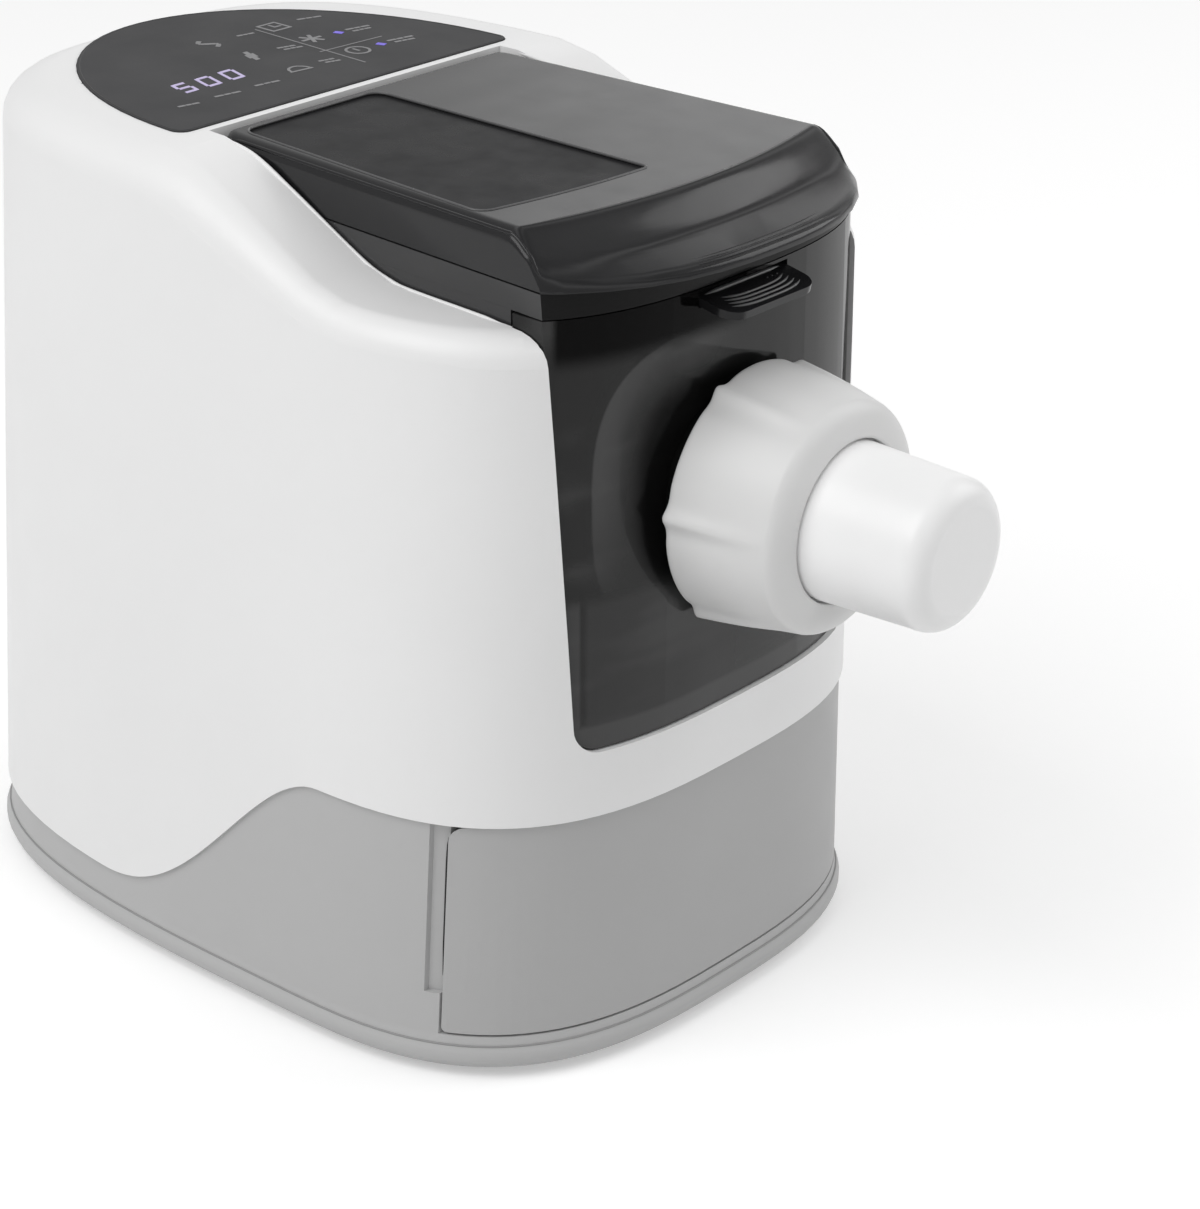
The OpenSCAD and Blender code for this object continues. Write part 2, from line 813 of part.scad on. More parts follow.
module inner_frame() {
    color("lightgray")
        placed()
            difference() {
                union() {
                    mirrored() {
                        box([case_half, case_y, floor_t], [case_half + frame_t, motor_y, frame_top_z]);
                        box([case_half, case_y, floor_t],
                            [screw_x + screw_head_r + 2, motor_y, floor_t + frame_t]);
                        for (y = [board_y - board_d / 2 + 12, board_y + board_d / 2 - 12])
                            translate([post_x, y, frame_top_z]) cylinder(r = 4, h = board_z - frame_top_z);
                    }
                    box([-case_half - frame_t, case_y, frame_top_z],
                        [case_half + frame_t, frame_back_y, frame_top_z + frame_t]);
                }
                for (x = [-screw_x, screw_x], y = screw_y)
                    translate([x, y, floor_t - over]) cylinder(r = screw_r, h = frame_t + 2 * over);
            }
}

module control_panel() {
    color([0.13, 0.13, 0.14])
        placed()
            translate([0, 0, control_floor])
                linear_extrude(control_t)
                    control_drawing(0);
}

module display_module() {
    rim = 3;
    color([0.1, 0.1, 0.12])
        placed() {
            display_opening(0, body_h - wall_t, control_floor);
            display_opening(rim, board_z + pcb_t, body_h - wall_t);
        }
}

module control_board() {
    color("darkgreen")
        placed()
            translate([0, board_y, board_z])
                rounded_slab(board_w, board_d, pcb_t, 4);
}

module power_board() {
    post_h = 6;
    post_r = 3;
    post_in = 5;
    part_h = 24;
    can_r = 5.5;
    fin_t = 2;
    fin_pitch = 3.5;
    low = floor_t + post_h;
    top = low + pcb_t;
    front = motor_y + 6;
    back = rear_reach - 26.4;
    half = 0.785 * case_half;
    d = back - front;
    color("darkgreen")
        placed() {
            box([-half, front, low], [half, back, top]);
            mirrored()
                for (y = [front + post_in, back - post_in])
                    translate([half - post_in, y, floor_t]) cylinder(r = post_r, h = post_h);
            // Transformer, capacitors and heat sink
            box([-0.76 * half, front + 0.18 * d, top], [-0.18 * half, front + 0.66 * d, top + part_h]);
            for (x = [0.09, 0.4] * half)
                translate([x, front + 0.4 * d, top]) cylinder(r = can_r, h = part_h);
            for (i = [0:3])
                let (x = 0.62 * half + fin_pitch * i)
                box([x, front + 0.15 * d, top], [x + fin_t, front + 0.74 * d, top + part_h]);
        }
}

module power_inlet() {
    face_y = rear_y(inlet_x + inlet_w / 2, inlet_z) + 1.5;
    depth = 20;
    socket = 15;
    color("black")
        placed() {
            difference() {
                box([inlet_x - inlet_w / 2, face_y - depth, inlet_z - inlet_h / 2],
                    [inlet_x + inlet_w / 2, face_y, inlet_z + inlet_h / 2]);
                box([inlet_x - inlet_w / 2 + 3, face_y - socket, inlet_z - inlet_h / 2 + 3.5],
                    [inlet_x + inlet_w / 2 - 3, face_y + over, inlet_z + inlet_h / 2 - 3.5]);
            }
            for (p = [[-7, -1.5], [0, 3], [7, -1.5]])
                box([inlet_x + p[0] - 1, face_y - socket, inlet_z + p[1] - 2],
                    [inlet_x + p[0] + 1, face_y - 4, inlet_z + p[1] + 2]);
        }
}

magnet_x = -0.4 * well_w;
magnet_z = seam_z + 7;
magnet_r = 4;
switch_w = 12;
switch_t = 5;
switch_h = 14;

module lid_switch() {
    color("black")
        placed()
            box([magnet_x - switch_w / 2, well_back_y + wall_t, magnet_z + magnet_r - switch_h],
                [magnet_x + switch_w / 2, well_back_y + wall_t + switch_t, magnet_z + magnet_r]);
}

// ---- Mixing chamber ----

chamber_back_y = well_back_y - 2;
rim_z = panel_top_z + 0.4;
seal_r = shaft_r + 8;
spigot_r = barrel_r + 1.7;

// Section of the chamber: straight sides, sloping in to a round trough; grown by g
module chamber_section(g) {
    w = chamber_w / 2 + g;
    r = trough_r + g;
    shoulder_z = axis_z + 34;
    polygon(concat(
        [[w, body_h], [w, shoulder_z]],
        arc(0, axis_z, r, 8, -188, 40),
        [[-w, shoulder_z], [-w, body_h]]));
}

module mixing_chamber() {
    saddle_w = 60;
    saddle_t = 8;
    color([0.2, 0.2, 0.21])
        placed()
            difference() {
                union() {
                    intersection() {
                        along_y(chamber_front_y, chamber_back_y) chamber_section(chamber_t);
                        box([-far, -far, 0], [far, far, seam_z - seam_gap]);
                    }
                    intersection() {
                        well_block(-chamber_gap, -far, rim_z, seam_z - seam_gap);
                        body_band(panel_recess, rim_z - over, seam_z + over);
                    }
                    for (y = [chamber_front_y + 14, chamber_back_y - 14 - saddle_t])
                        box([-saddle_w / 2, y, well_floor_z],
                            [saddle_w / 2, y + saddle_t, axis_z - trough_r * 0.8]);
                }
                along_y(chamber_front_y + chamber_t, chamber_back_y - chamber_t) chamber_section(0);
                disc(spigot_r + slip_gap, chamber_front_y - over, chamber_front_y + chamber_t + over);
                disc(seal_r, chamber_back_y - chamber_t - over, chamber_back_y + over);
            }
}

module shaft_seal() {
    color("darkred")
        placed()
            ring(seal_r, shaft_r + 0.1, chamber_back_y - chamber_t - 1.5, well_back_y);
}

// ---- Lid ----

crest_y = chamber_front_y - 7;
crest_run = 15;
// At its ends the crest starts further back
crest_back = 11.5;
// The main fall of the ogee, and how much deeper the lip lies at its ends
crest_fall = 9.6;
lip_end_fall = 1.4;
// Rounding along the front of the lip, and of its corners in plan
lip_round = 2.4;
lip_corner = 2.5;
lip_corner_power = 16;
lid_edge_r = 5;
lid_back_r = 2.5;
lid_corner_r = 5.5;
lid_top_z = body_h;
lip_power = 2.6;
// The hollow under the lid ends here, above the chamber's front wall
hollow_y = chamber_front_y + 3;
hollow_back = 8;

function lip_edge(v) =
    lip_y + lip_fall * pow(abs(v), lip_power) + lip_corner * pow(abs(v), lip_corner_power);
function crest_start(v) = crest_y + crest_back * v * v;

// Half width of the lid, with rounded back corners
function lid_half(y) =
    let (in_corner = max(0, y - (lid_back_y - lid_corner_r)))
    well_half(y, seam_z) - lid_gap - lid_corner_r + sqrt(pow(lid_corner_r, 2) - pow(in_corner, 2));

// Fall of a quarter-round edge at the distance s from it
function round_off(s, r) = s >= r ? 0 : r - sqrt(pow(r, 2) - pow(r - s, 2));

// Top of the lid: flat, then an ogee down to the lip
function lid_z(y, v) =
    let (fall = lid_top_z - seam_z - lip_t + lip_end_fall * v * v)
    let (start = crest_start(v))
    let (d = max(0, start - y))
    let (front = unit(d / crest_run))
    let (turn = 0.7 * crest_run)
    let (rest = unit((d - turn) / (start - lip_edge(v) - turn)))
    let (side_r = max(1, lid_edge_r * (1 - front)))
    let (edge_fall = max(round_off(y - lip_edge(v), lip_round), round_off(lid_back_y - y, lid_back_r)))
    lid_top_z - crest_fall * smooth(front) - (fall - crest_fall) * rest
        - max(round_off((1 - abs(v)) * lid_half(y), side_r), edge_fall);

function lid_columns() =
    let (edge = [for (k = [0:5]) 1 - lid_edge_r * (1 - cos(18 * k)) / (well_w / 2)])
    let (half = concat(edge, [0.8, 0.64, 0.48, 0.32, 0.16]))
    concat([for (v = half) -v], [0], [for (k = [len(half) - 1:-1:0]) half[k]]);

function lid_row(y, v) = [v * lid_half(y), y, lid_z(y, v)];

// Plan of the space under the lid
function hollow_plan(back_y) =
    let (half = lid_half(hollow_y))
    concat(
        [for (k = [-8:8]) [half * k / 8, hollow_y + hollow_back * pow(k / 8, 2)]],
        [[half, back_y], [-half, back_y]]);

// Solid between a grid of points, seen from above with rows running forward, and a flat underside
module grid_solid(rows, low_z) {
    m = len(rows);
    n = len(rows[0]);
    top = [for (row = rows) each row];
    bottom = [for (p = top) [p[0], p[1], low_z]];
    quads = [
        for (j = [0:m - 2], i = [0:n - 2])
            let (k = j * n + i)
            [k, k + 1, k + n + 1, k + n]
    ];
    loop = concat(
        [for (i = [0:n - 2]) i], [for (j = [0:m - 2]) j * n + n - 1],
        [for (i = [n - 1:-1:1]) (m - 1) * n + i], [for (j = [m - 1:-1:1]) j * n]);
    count = len(loop);
    walls = [
        for (k = [0:count - 1])
            let (p = loop[k], q = loop[(k + 1) % count])
            [q, p, p + m * n, q + m * n]
    ];
    under = [for (f = quads) [for (j = [3:-1:0]) f[j] + m * n]];
    polyhedron(points = concat(top, bottom), faces = concat(quads, under, walls), convexity = 6);
}

module lid_form() {
    columns = lid_columns();
    back = [for (k = [0:5]) lid_back_y - lid_back_r * (1 - cos(18 * k))];
    flat_end = crest_y + 2 * crest_back;
    roll = [for (k = [0:4]) lip_round * (1 - sin(90 - 18 * k))];
    flat = [
        lid_back_y - 0.75 * lid_corner_r, lid_back_y - lid_corner_r,
        for (k = [1:3]) lid_back_y - lid_corner_r - (lid_back_y - lid_corner_r - flat_end) * k / 3
    ];
    steps = 16;
    rows = concat(
        [for (y = concat(back, flat)) [for (v = columns) lid_row(y, v)]],
        [
            for (k = [0:steps])
                [
                    for (v = columns)
                        let (end = lip_edge(v) + lip_round)
                        lid_row(crest_start(v) + (end - crest_start(v)) * k / steps, v)
                ]
        ],
        [for (k = [3:-1:0]) [for (v = columns) lid_row(lip_edge(v) + roll[k], v)]]);
    grid_solid(rows, seam_z);
}

recess_in = 6;
recess_back_y = 67.5;
recess_front_y = crest_y + 19;
recess_slant = 8;

// Recess over the left half of the lid, with a front edge that follows the crest
module recess_drawing() {
    r = 6;
    back_x = -lid_half(0) + recess_in + well_flare * recess_back_y;
    front_x = -lid_half(recess_front_y) + recess_in;
    function front_edge(x) = recess_front_y + recess_slant * pow(x / front_x, 2);
    polygon(concat(
        arc(-r, recess_back_y - r, r, 0, 90, 5),
        arc(back_x + r, recess_back_y - r, r, 90, 178, 5),
        arc(front_x + r, front_edge(front_x + r) + r, r, 182, 262, 5),
        [for (k = [5:-1:1]) [(front_x + r) * k / 6, front_edge((front_x + r) * k / 6)]],
        arc(-2, recess_front_y + 2, 2, 270, 360, 3)));
}

module lid() {
    hinge_span = 2 * (well_half(hinge_y, hinge_z) + wall_t - 0.5);
    inner = 2 * (lid_half(hinge_y) - lid_t);
    color([0.25, 0.25, 0.26, 0.8])
        placed()
            difference() {
                union() {
                    difference() {
                        lid_form();
                        intersection() {
                            well_block(-lid_gap - lid_t, hollow_y, seam_z - over, lid_top_z - lid_t,
                                lid_back_y + lid_gap);
                            linear_extrude(lid_top_z) polygon(hollow_plan(lid_back_y));
                        }
                    }
                    hinge_axis(hinge_r, hinge_span);
                }
                translate([0, 0, lid_top_z - recess_d]) linear_extrude(far) recess_drawing();
                box([-inner / 2, hinge_y - lid_t, hinge_z - lid_t],
                    [inner / 2, lid_back_y - lid_t, hinge_z + 2.4]);
            }
}

module lid_magnet() {
    color("silver")
        placed()
            disc(magnet_r, lid_back_y - lid_t - 3, lid_back_y - lid_t, magnet_x, magnet_z);
}

// ---- Front panel ----

tab_slot = 1.4;
tab_slot_over = 1;
tab_pin_r = 1.5;
tab_pin_y = front_y(0, tab_z, panel_recess) + panel_t + 1.5;
tab_pin_z = tab_z - tab_t;
ear_t = 3.5;
ear_in = 0.4;

module tab_pin(r, extra) {
    half = tab_w / 2 + ear_in + ear_t + extra;
    translate([-half, tab_pin_y, tab_pin_z])
        rotate([0, 90, 0])
            cylinder(r = r, h = 2 * half);
}

module front_panel() {
    face = panel_recess;
    back_y = chamber_front_y - face_gap;
    color([0.25, 0.25, 0.26, 0.8])
        placed()
            difference() {
                union() {
                    difference() {
                        intersection() {
                            body_band(face, sill_z, panel_top_z);
                            along_y(-far, back_y) window_drawing(panel_gap, panel_top_z);
                        }
                        intersection() {
                            body_band(face + panel_t, sill_z - over, panel_top_z + over);
                            along_y(-far, back_y + over)
                                window_drawing(panel_gap + panel_t, panel_top_z - panel_t);
                        }
                    }
                    mirrored()
                        box([tab_w / 2 + ear_in, tab_pin_y - 3, tab_pin_z - 3],
                            [tab_w / 2 + ear_in + ear_t, tab_pin_y + 3, panel_top_z - panel_t]);
                }
                disc(head_r + 0.4, -far, window_y);
                box([-tab_w / 2 - ear_in, -far, tab_z - tab_t - tab_slot],
                    [tab_w / 2 + ear_in, tab_pin_y + 3, tab_z + tab_slot_over]);
                tab_pin(tab_pin_r + run_gap, over);
            }
}

// Finger tab with a rounded front, which falls a little towards it
module release_tab() {
    r = 7;
    tip = front_y(0, tab_z, panel_recess) - tab_reach - tab_pin_y;
    root = 2;
    color([0.15, 0.15, 0.16])
        placed() {
            translate([0, tab_pin_y, tab_pin_z])
                rotate([tab_slope, 0, 0])
                    linear_extrude(tab_t)
                        polygon(concat(
                            arc(-tab_w / 2 + r, tip + r, r, 180, 270, 6),
                            arc(tab_w / 2 - r, tip + r, r, 270, 360, 6),
                            [[tab_w / 2, root], [-tab_w / 2, root]]));
            tab_pin(tab_pin_r, 0);
        }
}

// ---- Extruder ----

nut_front_y = nut_back_y - nut_len;
nut_lip = 3.8;
hood_flange_t = 3.6;
die_gasket_t = 1.2;
flange_t = 4.5;
gasket_t = 1.3;
hood_flange_y = nut_front_y + nut_lip + face_gap;
die_y = hood_flange_y + hood_flange_t;
die_gasket_y = die_y + die_t;
head_y = die_gasket_y + die_gasket_t + face_gap;
flange_y = chamber_front_y - face_gap - gasket_t;
collar_t = 4.5;
collar_y = front_y(head_r + 4, axis_z, panel_recess + panel_t) + face_gap;
die_r = head_r - 1;

module barrel_gasket() {
    color("darkred")
        placed()
            ring(flange_r - 2, spigot_r + 2, flange_y, flange_y + gasket_t);
}

module extrusion_barrel() {
    tube_r = barrel_r + 6;
    webs = 6;
    color("gray")
        placed()
            difference() {
                union() {
                    disc(spigot_r, flange_y - over, chamber_front_y + chamber_t);
                    disc(flange_r, flange_y - flange_t, flange_y);
                    disc(tube_r, collar_y, flange_y);
                    disc(head_r + 4, collar_y, collar_y + collar_t);
                    disc(head_r, head_y, collar_y + over);
                    for (i = [0:webs - 1])
                        translate([0, 0, axis_z])
                            rotate([0, 360 * i / webs, 0])
                                box([tube_r - over, collar_y, -1.5], [head_r + 3, flange_y - over, 1.5]);
                }
                disc(barrel_r, -far, far);
            }
}

module die_gasket() {
    color("darkred")
        placed()
            ring(die_r, barrel_r + 2, die_gasket_y, die_gasket_y + die_gasket_t);
}

// Die with rings of round holes, one strand each
module pasta_die() {
    hole_r = 1.3;
    color("ivory")
        placed()
            difference() {
                disc(die_r, die_y, die_gasket_y);
                for (k = [0:3], i = [0:max(1, 6 * k) - 1])
                    let (a = 360 * i / max(1, 6 * k), r = 5.2 * k)
                    disc(hole_r, die_y - over, die_gasket_y + over, r * cos(a), axis_z + r * sin(a));
            }
}

// Closed hood that turns the strands down through a slot
module outlet_hood() {
    hood_t = 2.8;
    root = nut_lip + face_gap + hood_flange_t;
    tip = root + hood_len;
    slope = (hood_r - hood_end_r) / hood_len;
    straight = hood_len - hood_round;
    slot_w = 28;
    slot_end = 9;
    color("white")
        placed()
            difference() {
                turned(die_y)
                    polygon(concat(
                        [[0, 0], [die_r, 0], [die_r, hood_flange_t], [hood_r, hood_flange_t], [hood_r, root]],
                        arc(hood_r - slope * straight - hood_round, tip - hood_round, hood_round, 0, 90, 8),
                        [[0, tip]]));
                turned(die_y)
                    polygon([
                        [0, -over], [hood_r - hood_t, -over], [hood_r - hood_t, root],
                        [hood_end_r - hood_t, tip - hood_round], [hood_end_r - hood_t - 3, tip - hood_t],
                        [0, tip - hood_t]
                    ]);
                box([-slot_w / 2, nut_front_y - hood_len + slot_end, axis_z - far],
                    [slot_w / 2, nut_front_y - 3, axis_z]);
            }
}

module lock_nut() {
    bore = head_r + slip_gap;
    round_len = 6;
    edge = 1.2;
    rib_r = 2.2;
    rib_phase = 56;
    rib_sink = 0.2;
    rib_len = nut_len - 8;
    rib_fall = nut_r - nut_front_r + 2.1;
    color("gainsboro")
        placed() {
            turned(nut_back_y)
                polygon(concat(
                    [[bore, 0], [nut_r - 1, 0], [nut_r, 1]],
                    [
                        for (i = [0:8])
                            let (a = 90 * i / 8)
                            [
                                nut_mouth_r + edge + (nut_front_r - nut_mouth_r - edge) * cos(a),
                                nut_len - round_len + round_len * sin(a)
                            ]
                    ],
                    [[nut_mouth_r, nut_len], [nut_mouth_r, nut_len - nut_lip], [bore, nut_len - nut_lip]]));
            difference() {
                for (i = [0:rib_count - 1])
                    translate([0, nut_back_y, axis_z])
                        rotate([0, -rib_phase - 360 * i / rib_count, 0])
                            translate([nut_r - rib_sink, over, 0])
                                rotate([90, 0, 0])
                                    rotate([0, -atan(rib_fall / rib_len), 0])
                                        cylinder(r = rib_r, h = rib_len);
                box([-far, nut_back_y, 0], [far, far, far]);
                disc(bore + 1, nut_front_y, nut_back_y + over);
            }
        }
}

// ---- Mixing shaft and extrusion screw ----

screw_back_y = chamber_front_y + 28;
screw_front_y = head_y + 4;
socket_depth = 14;
paddle_back_y = chamber_back_y - chamber_t - 3.5;
paddle_r = shaft_r + 4;
drive_pin_y = paddle_back_y - 5;
drive_pin_r = 1.6;

module output_shaft() {
    color("silver")
        placed() {
            disc(shaft_r, paddle_back_y - socket_depth + 1, motor_y - 1);
            translate([-paddle_r + 1, drive_pin_y, axis_z])
                rotate([0, 90, 0])
                    cylinder(r = drive_pin_r, h = 2 * paddle_r - 2);
        }
}

// Hub with four blades a quarter turn apart
module mixing_paddle() {
    blade_r = trough_r - 4;
    blade_w = 13;
    blade_t = 5;
    blades = 4;
    first = screw_back_y + 12;
    pitch = (paddle_back_y - 16 - first) / (blades - 1);
    color("whitesmoke")
        placed()
            difference() {
                union() {
                    disc(paddle_r, screw_back_y, paddle_back_y);
                    disc(shaft_r, screw_back_y - 10, screw_back_y + over);
                    for (i = [0:blades - 1])
                        let (y = first + i * pitch)
                        intersection() {
                            disc(blade_r, y - blade_w / 2, y + blade_w / 2);
                            translate([0, y, axis_z])
                                rotate([0, 90 * i + 45, 0])
                                    box([0, -blade_w / 2, -blade_t / 2],
                                        [blade_r + over, blade_w / 2, blade_t / 2]);
                        }
                }
                disc(shaft_r + run_gap, paddle_back_y - socket_depth, paddle_back_y + over);
                box([-paddle_r - over, drive_pin_y - drive_pin_r - slip_gap, axis_z - drive_pin_r - slip_gap],
                    [paddle_r + over, paddle_back_y + over, axis_z + drive_pin_r + slip_gap]);
            }
}

// Screw: a core with one helical flight that fills the barrel
module extrusion_screw() {
    core_r = 8.5;
    flight_r = barrel_r - slip_gap;
    flight_t = 4;
    pitch = 22;
    length = screw_back_y - screw_front_y - flight_t - 1;
    steps = ceil(length / pitch * 24);
    section = [[core_r - 2, -flight_t / 2], [flight_r, -flight_t / 2 + 0.6], [flight_r, flight_t / 2 - 0.6],
        [core_r - 2, flight_t / 2]];
    points = [
        for (k = [0:steps], p = section)
            let (a = 360 * length / pitch * k / steps)
            [p[0] * cos(a), p[0] * sin(a), length * k / steps + p[1]]
    ];
    sides = [
        for (k = [0:steps - 1], j = [0:3])
            let (a = 4 * k + j, b = 4 * k + (j + 1) % 4)
            each [[a, b, b + 4], [a, b + 4, a + 4]]
    ];
    color("whitesmoke")
        placed()
            difference() {
                union() {
                    disc(core_r, screw_front_y, screw_back_y);
                    translate([0, screw_back_y - flight_t / 2 - 0.5, axis_z])
                        rotate([90, 0, 0])
                            polyhedron(points = points,
                                faces = concat([[3, 2, 1, 0]], sides, [[for (j = [0:3]) 4 * steps + j]]));
                }
                disc(shaft_r, screw_back_y - 10, screw_back_y + over);
            }
}

// ---- Drawer ----

drawer_t = 4;
bin_top_z = skirt_front_z - 5;

module drawer_front() {
    top = skirt_front_z - drawer_gap;
    r_top = 5.5;
    r_low = 2;
    side = concat(
        [[-far, drawer_z]],
        arc(drawer_y - r_low, drawer_z + r_low, r_low, 270, 360, 4),
        arc(drawer_y - r_top, top - r_top, r_top, 0, 90, 6),
        [[-far, top]]);
    color("darkgray")
        placed()
            intersection() {
                difference() {
                    body_band(skirt_step, 0, body_h / 2);
                    body_band(skirt_step + drawer_t, -over, body_h / 2 + over);
                }
                translate([-far, 0, 0]) rotate([90, 0, 90]) linear_extrude(2 * far) polygon(side);
            }
}

module drawer_bin() {
    color("gainsboro")
        placed()
            difference() {
                intersection() {
                    body_band(skirt_step + drawer_t + run_gap, drawer_z, bin_top_z);
                    box([-bin_w / 2, -far, drawer_z], [bin_w / 2, bin_back_y, bin_top_z]);
                }
                intersection() {
                    body_band(skirt_step + drawer_t + bin_t, drawer_z, body_h / 2);
                    box([-bin_w / 2 + bin_t, -far, drawer_z + bin_t],
                        [bin_w / 2 - bin_t, bin_back_y - bin_t, far]);
                }
            }
}

body_shell();
base_tray();
foot_front_left();
foot_front_right();
foot_rear_left();
foot_rear_right();
inner_frame();
control_panel();
display_module();
control_board();
mixing_chamber();
shaft_seal();
gearbox_case();
gearbox_cover();
output_bearing();
motor_case();
motor_end_bell();
power_board();
power_inlet();
lid_switch();
base_screws();
lid();
lid_magnet();
front_panel();
extrusion_barrel();
barrel_gasket();
release_tab();
pasta_die();
die_gasket();
outlet_hood();
lock_nut();
mixing_paddle();
extrusion_screw();
output_shaft();
output_gear();
stage_shaft();
stage_gear();
motor_rotor();
motor_pinion();
drawer_front();
drawer_bin();
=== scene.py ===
"""Finishes, trim, light and camera for the electric pasta maker."""

import json
import logging
import math
from collections.abc import Callable, Iterable, Sequence
from dataclasses import dataclass
from enum import Enum
from functools import cache
from itertools import pairwise

import bmesh
import bpy
from mathutils import Matrix, Vector

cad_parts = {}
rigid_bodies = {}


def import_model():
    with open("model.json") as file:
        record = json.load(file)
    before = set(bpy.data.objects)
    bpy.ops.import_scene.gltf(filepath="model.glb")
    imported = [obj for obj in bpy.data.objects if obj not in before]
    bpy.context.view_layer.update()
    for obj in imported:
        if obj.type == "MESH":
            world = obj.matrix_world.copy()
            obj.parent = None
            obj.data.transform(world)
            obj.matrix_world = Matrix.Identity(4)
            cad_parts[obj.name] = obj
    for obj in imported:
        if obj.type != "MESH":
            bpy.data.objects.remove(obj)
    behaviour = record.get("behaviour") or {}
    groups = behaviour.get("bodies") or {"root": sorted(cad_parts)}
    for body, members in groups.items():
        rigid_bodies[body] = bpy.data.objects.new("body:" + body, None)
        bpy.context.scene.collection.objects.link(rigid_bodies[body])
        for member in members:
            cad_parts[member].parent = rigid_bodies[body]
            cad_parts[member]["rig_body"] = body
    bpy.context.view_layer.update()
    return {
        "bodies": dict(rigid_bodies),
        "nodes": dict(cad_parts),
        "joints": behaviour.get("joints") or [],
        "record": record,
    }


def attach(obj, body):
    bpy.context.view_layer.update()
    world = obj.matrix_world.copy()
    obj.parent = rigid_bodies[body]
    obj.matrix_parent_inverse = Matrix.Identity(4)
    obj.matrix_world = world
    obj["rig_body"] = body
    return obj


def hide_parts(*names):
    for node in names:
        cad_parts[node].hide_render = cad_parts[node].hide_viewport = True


LOG = logging.getLogger("pasta_maker")
MM = 0.001
# The body's own heights start at the rim of the base, and its depths at its widest line
BODY_ORIGIN_MM = Vector((0.0, -7.9, 4.0))
TOP_Z = 290.0
# Half width of the well at its back and top, and how much each millimetre forwards adds and downwards takes
WELL_BACK_Y = 75.0
WELL_HALF = 73.3
WELL_FLARE = 0.0645
WELL_DRAFT = 0.053
# Values that a noise pattern runs between, apart from rare spots
PATTERN = (0.3, 0.7)
# A face whose normal rises more than this is level
LEVEL = 0.99

Colour = tuple[float, float, float]
Triple = tuple[float, float, float]
Pair = tuple[float, float]
Ends = tuple[float, float, float, float]
Line = tuple[Vector, ...]
Mesh = bmesh.types.BMesh
Edge = bmesh.types.BMEdge
Vert = bmesh.types.BMVert
Material = bpy.types.Material
Piece = bpy.types.Object
Socket = bpy.types.NodeSocket


def at(x: float, y: float, z: float) -> Vector:
    """Turn a point in the body's own millimetres into the frame's metres."""
    return (Vector((x, y, z)) + BODY_ORIGIN_MM) * MM


def well_half(y: float, z: float) -> float:
    """Return half of the well's width at a depth and a height."""
    return WELL_HALF + WELL_FLARE * (WELL_BACK_Y - y) - WELL_DRAFT * (TOP_Z - z)


def spaced(first: float, last: float, steps: int) -> list[float]:
    """Return evenly spaced numbers, both ends included."""
    return [first + (last - first) * index / steps for index in range(steps + 1)]


def unit(value: float) -> float:
    """Keep a number between 0 and 1."""
    return min(1.0, max(0.0, value))


def ease(t: float) -> float:
    """Return a smooth step."""
    return t * t * (3.0 - 2.0 * t)


def rounding(distance: float, radius: float) -> float:
    """Return the fall of a quarter-round edge at a distance from it."""
    return 0.0 if distance >= radius else radius - math.sqrt(radius**2 - (radius - distance) ** 2)


# ---- Finishes ----


class Nodes:
    """Adds nodes to a tree."""

    def __init__(self, tree: bpy.types.NodeTree) -> None:
        """Keep the tree at hand."""
        self.tree = tree

    def add(self, kind: str, inputs: dict | None = None, **options: str) -> bpy.types.Node:
        """Add a node.

        Args:
            kind: Blender's name for the node, without its prefix.
            inputs: What feeds each input: a node's output or a plain value.
            options: Settings of the node.

        Returns:
            The node.
        """
        node = self.tree.nodes.new(f"ShaderNode{kind}")
        for option, value in options.items():
            setattr(node, option, value)
        for key, value in (inputs or {}).items():
            if isinstance(value, Socket):
                self.tree.links.new(value, node.inputs[key])
            else:
                node.inputs[key].default_value = value
        return node

    def join(self, kind: str, *values: Socket | float) -> Socket:
        """Join values, one after the other.

        Args:
            kind: Blender's name for the operation.
            values: The values.

        Returns:
            The result.
        """
        total = values[0]
        for value in values[1:]:
            total = self.add("Math", {0: total, 1: value}, operation=kind).outputs[0]
        return total

    def remap(self, value: Socket, source: Pair, target: Pair, kind: str = "LINEAR") -> Socket:
        """Map a value from one range to another.

        Args:
            value: The value.
            source: Range that it comes from, which may run downwards.
            target: Range that it goes to.
            kind: Blender's name for the way between them.

        Returns:
            The mapped value.
        """
        inputs = {"Value": value, "From Min": source[0], "From Max": source[1]}
        inputs |= {"To Min": target[0], "To Max": target[1]}
        return self.add("MapRange", inputs, interpolation_type=kind).outputs["Result"]

    def step(self, value: Socket, span: Pair, level: float = 1.0) -> Socket:
        """Add a soft step that goes from 0 to a level over a span."""
        return self.remap(value, span, (0.0, level), "SMOOTHSTEP")

    def mix(self, share: Socket, first: bpy.types.Node, second: bpy.types.Node) -> bpy.types.Node:
        """Mix two shaders by a share."""
        return self.add("MixShader", {"Fac": share, 1: first.outputs[0], 2: second.outputs[0]})

    def show(self, shader: bpy.types.Node) -> None:
        """Send a shader to the tree's output."""
        output = next(node for node in self.tree.nodes if node.name.endswith("Output"))
        self.tree.links.new(shader.outputs[0], output.inputs["Surface"])


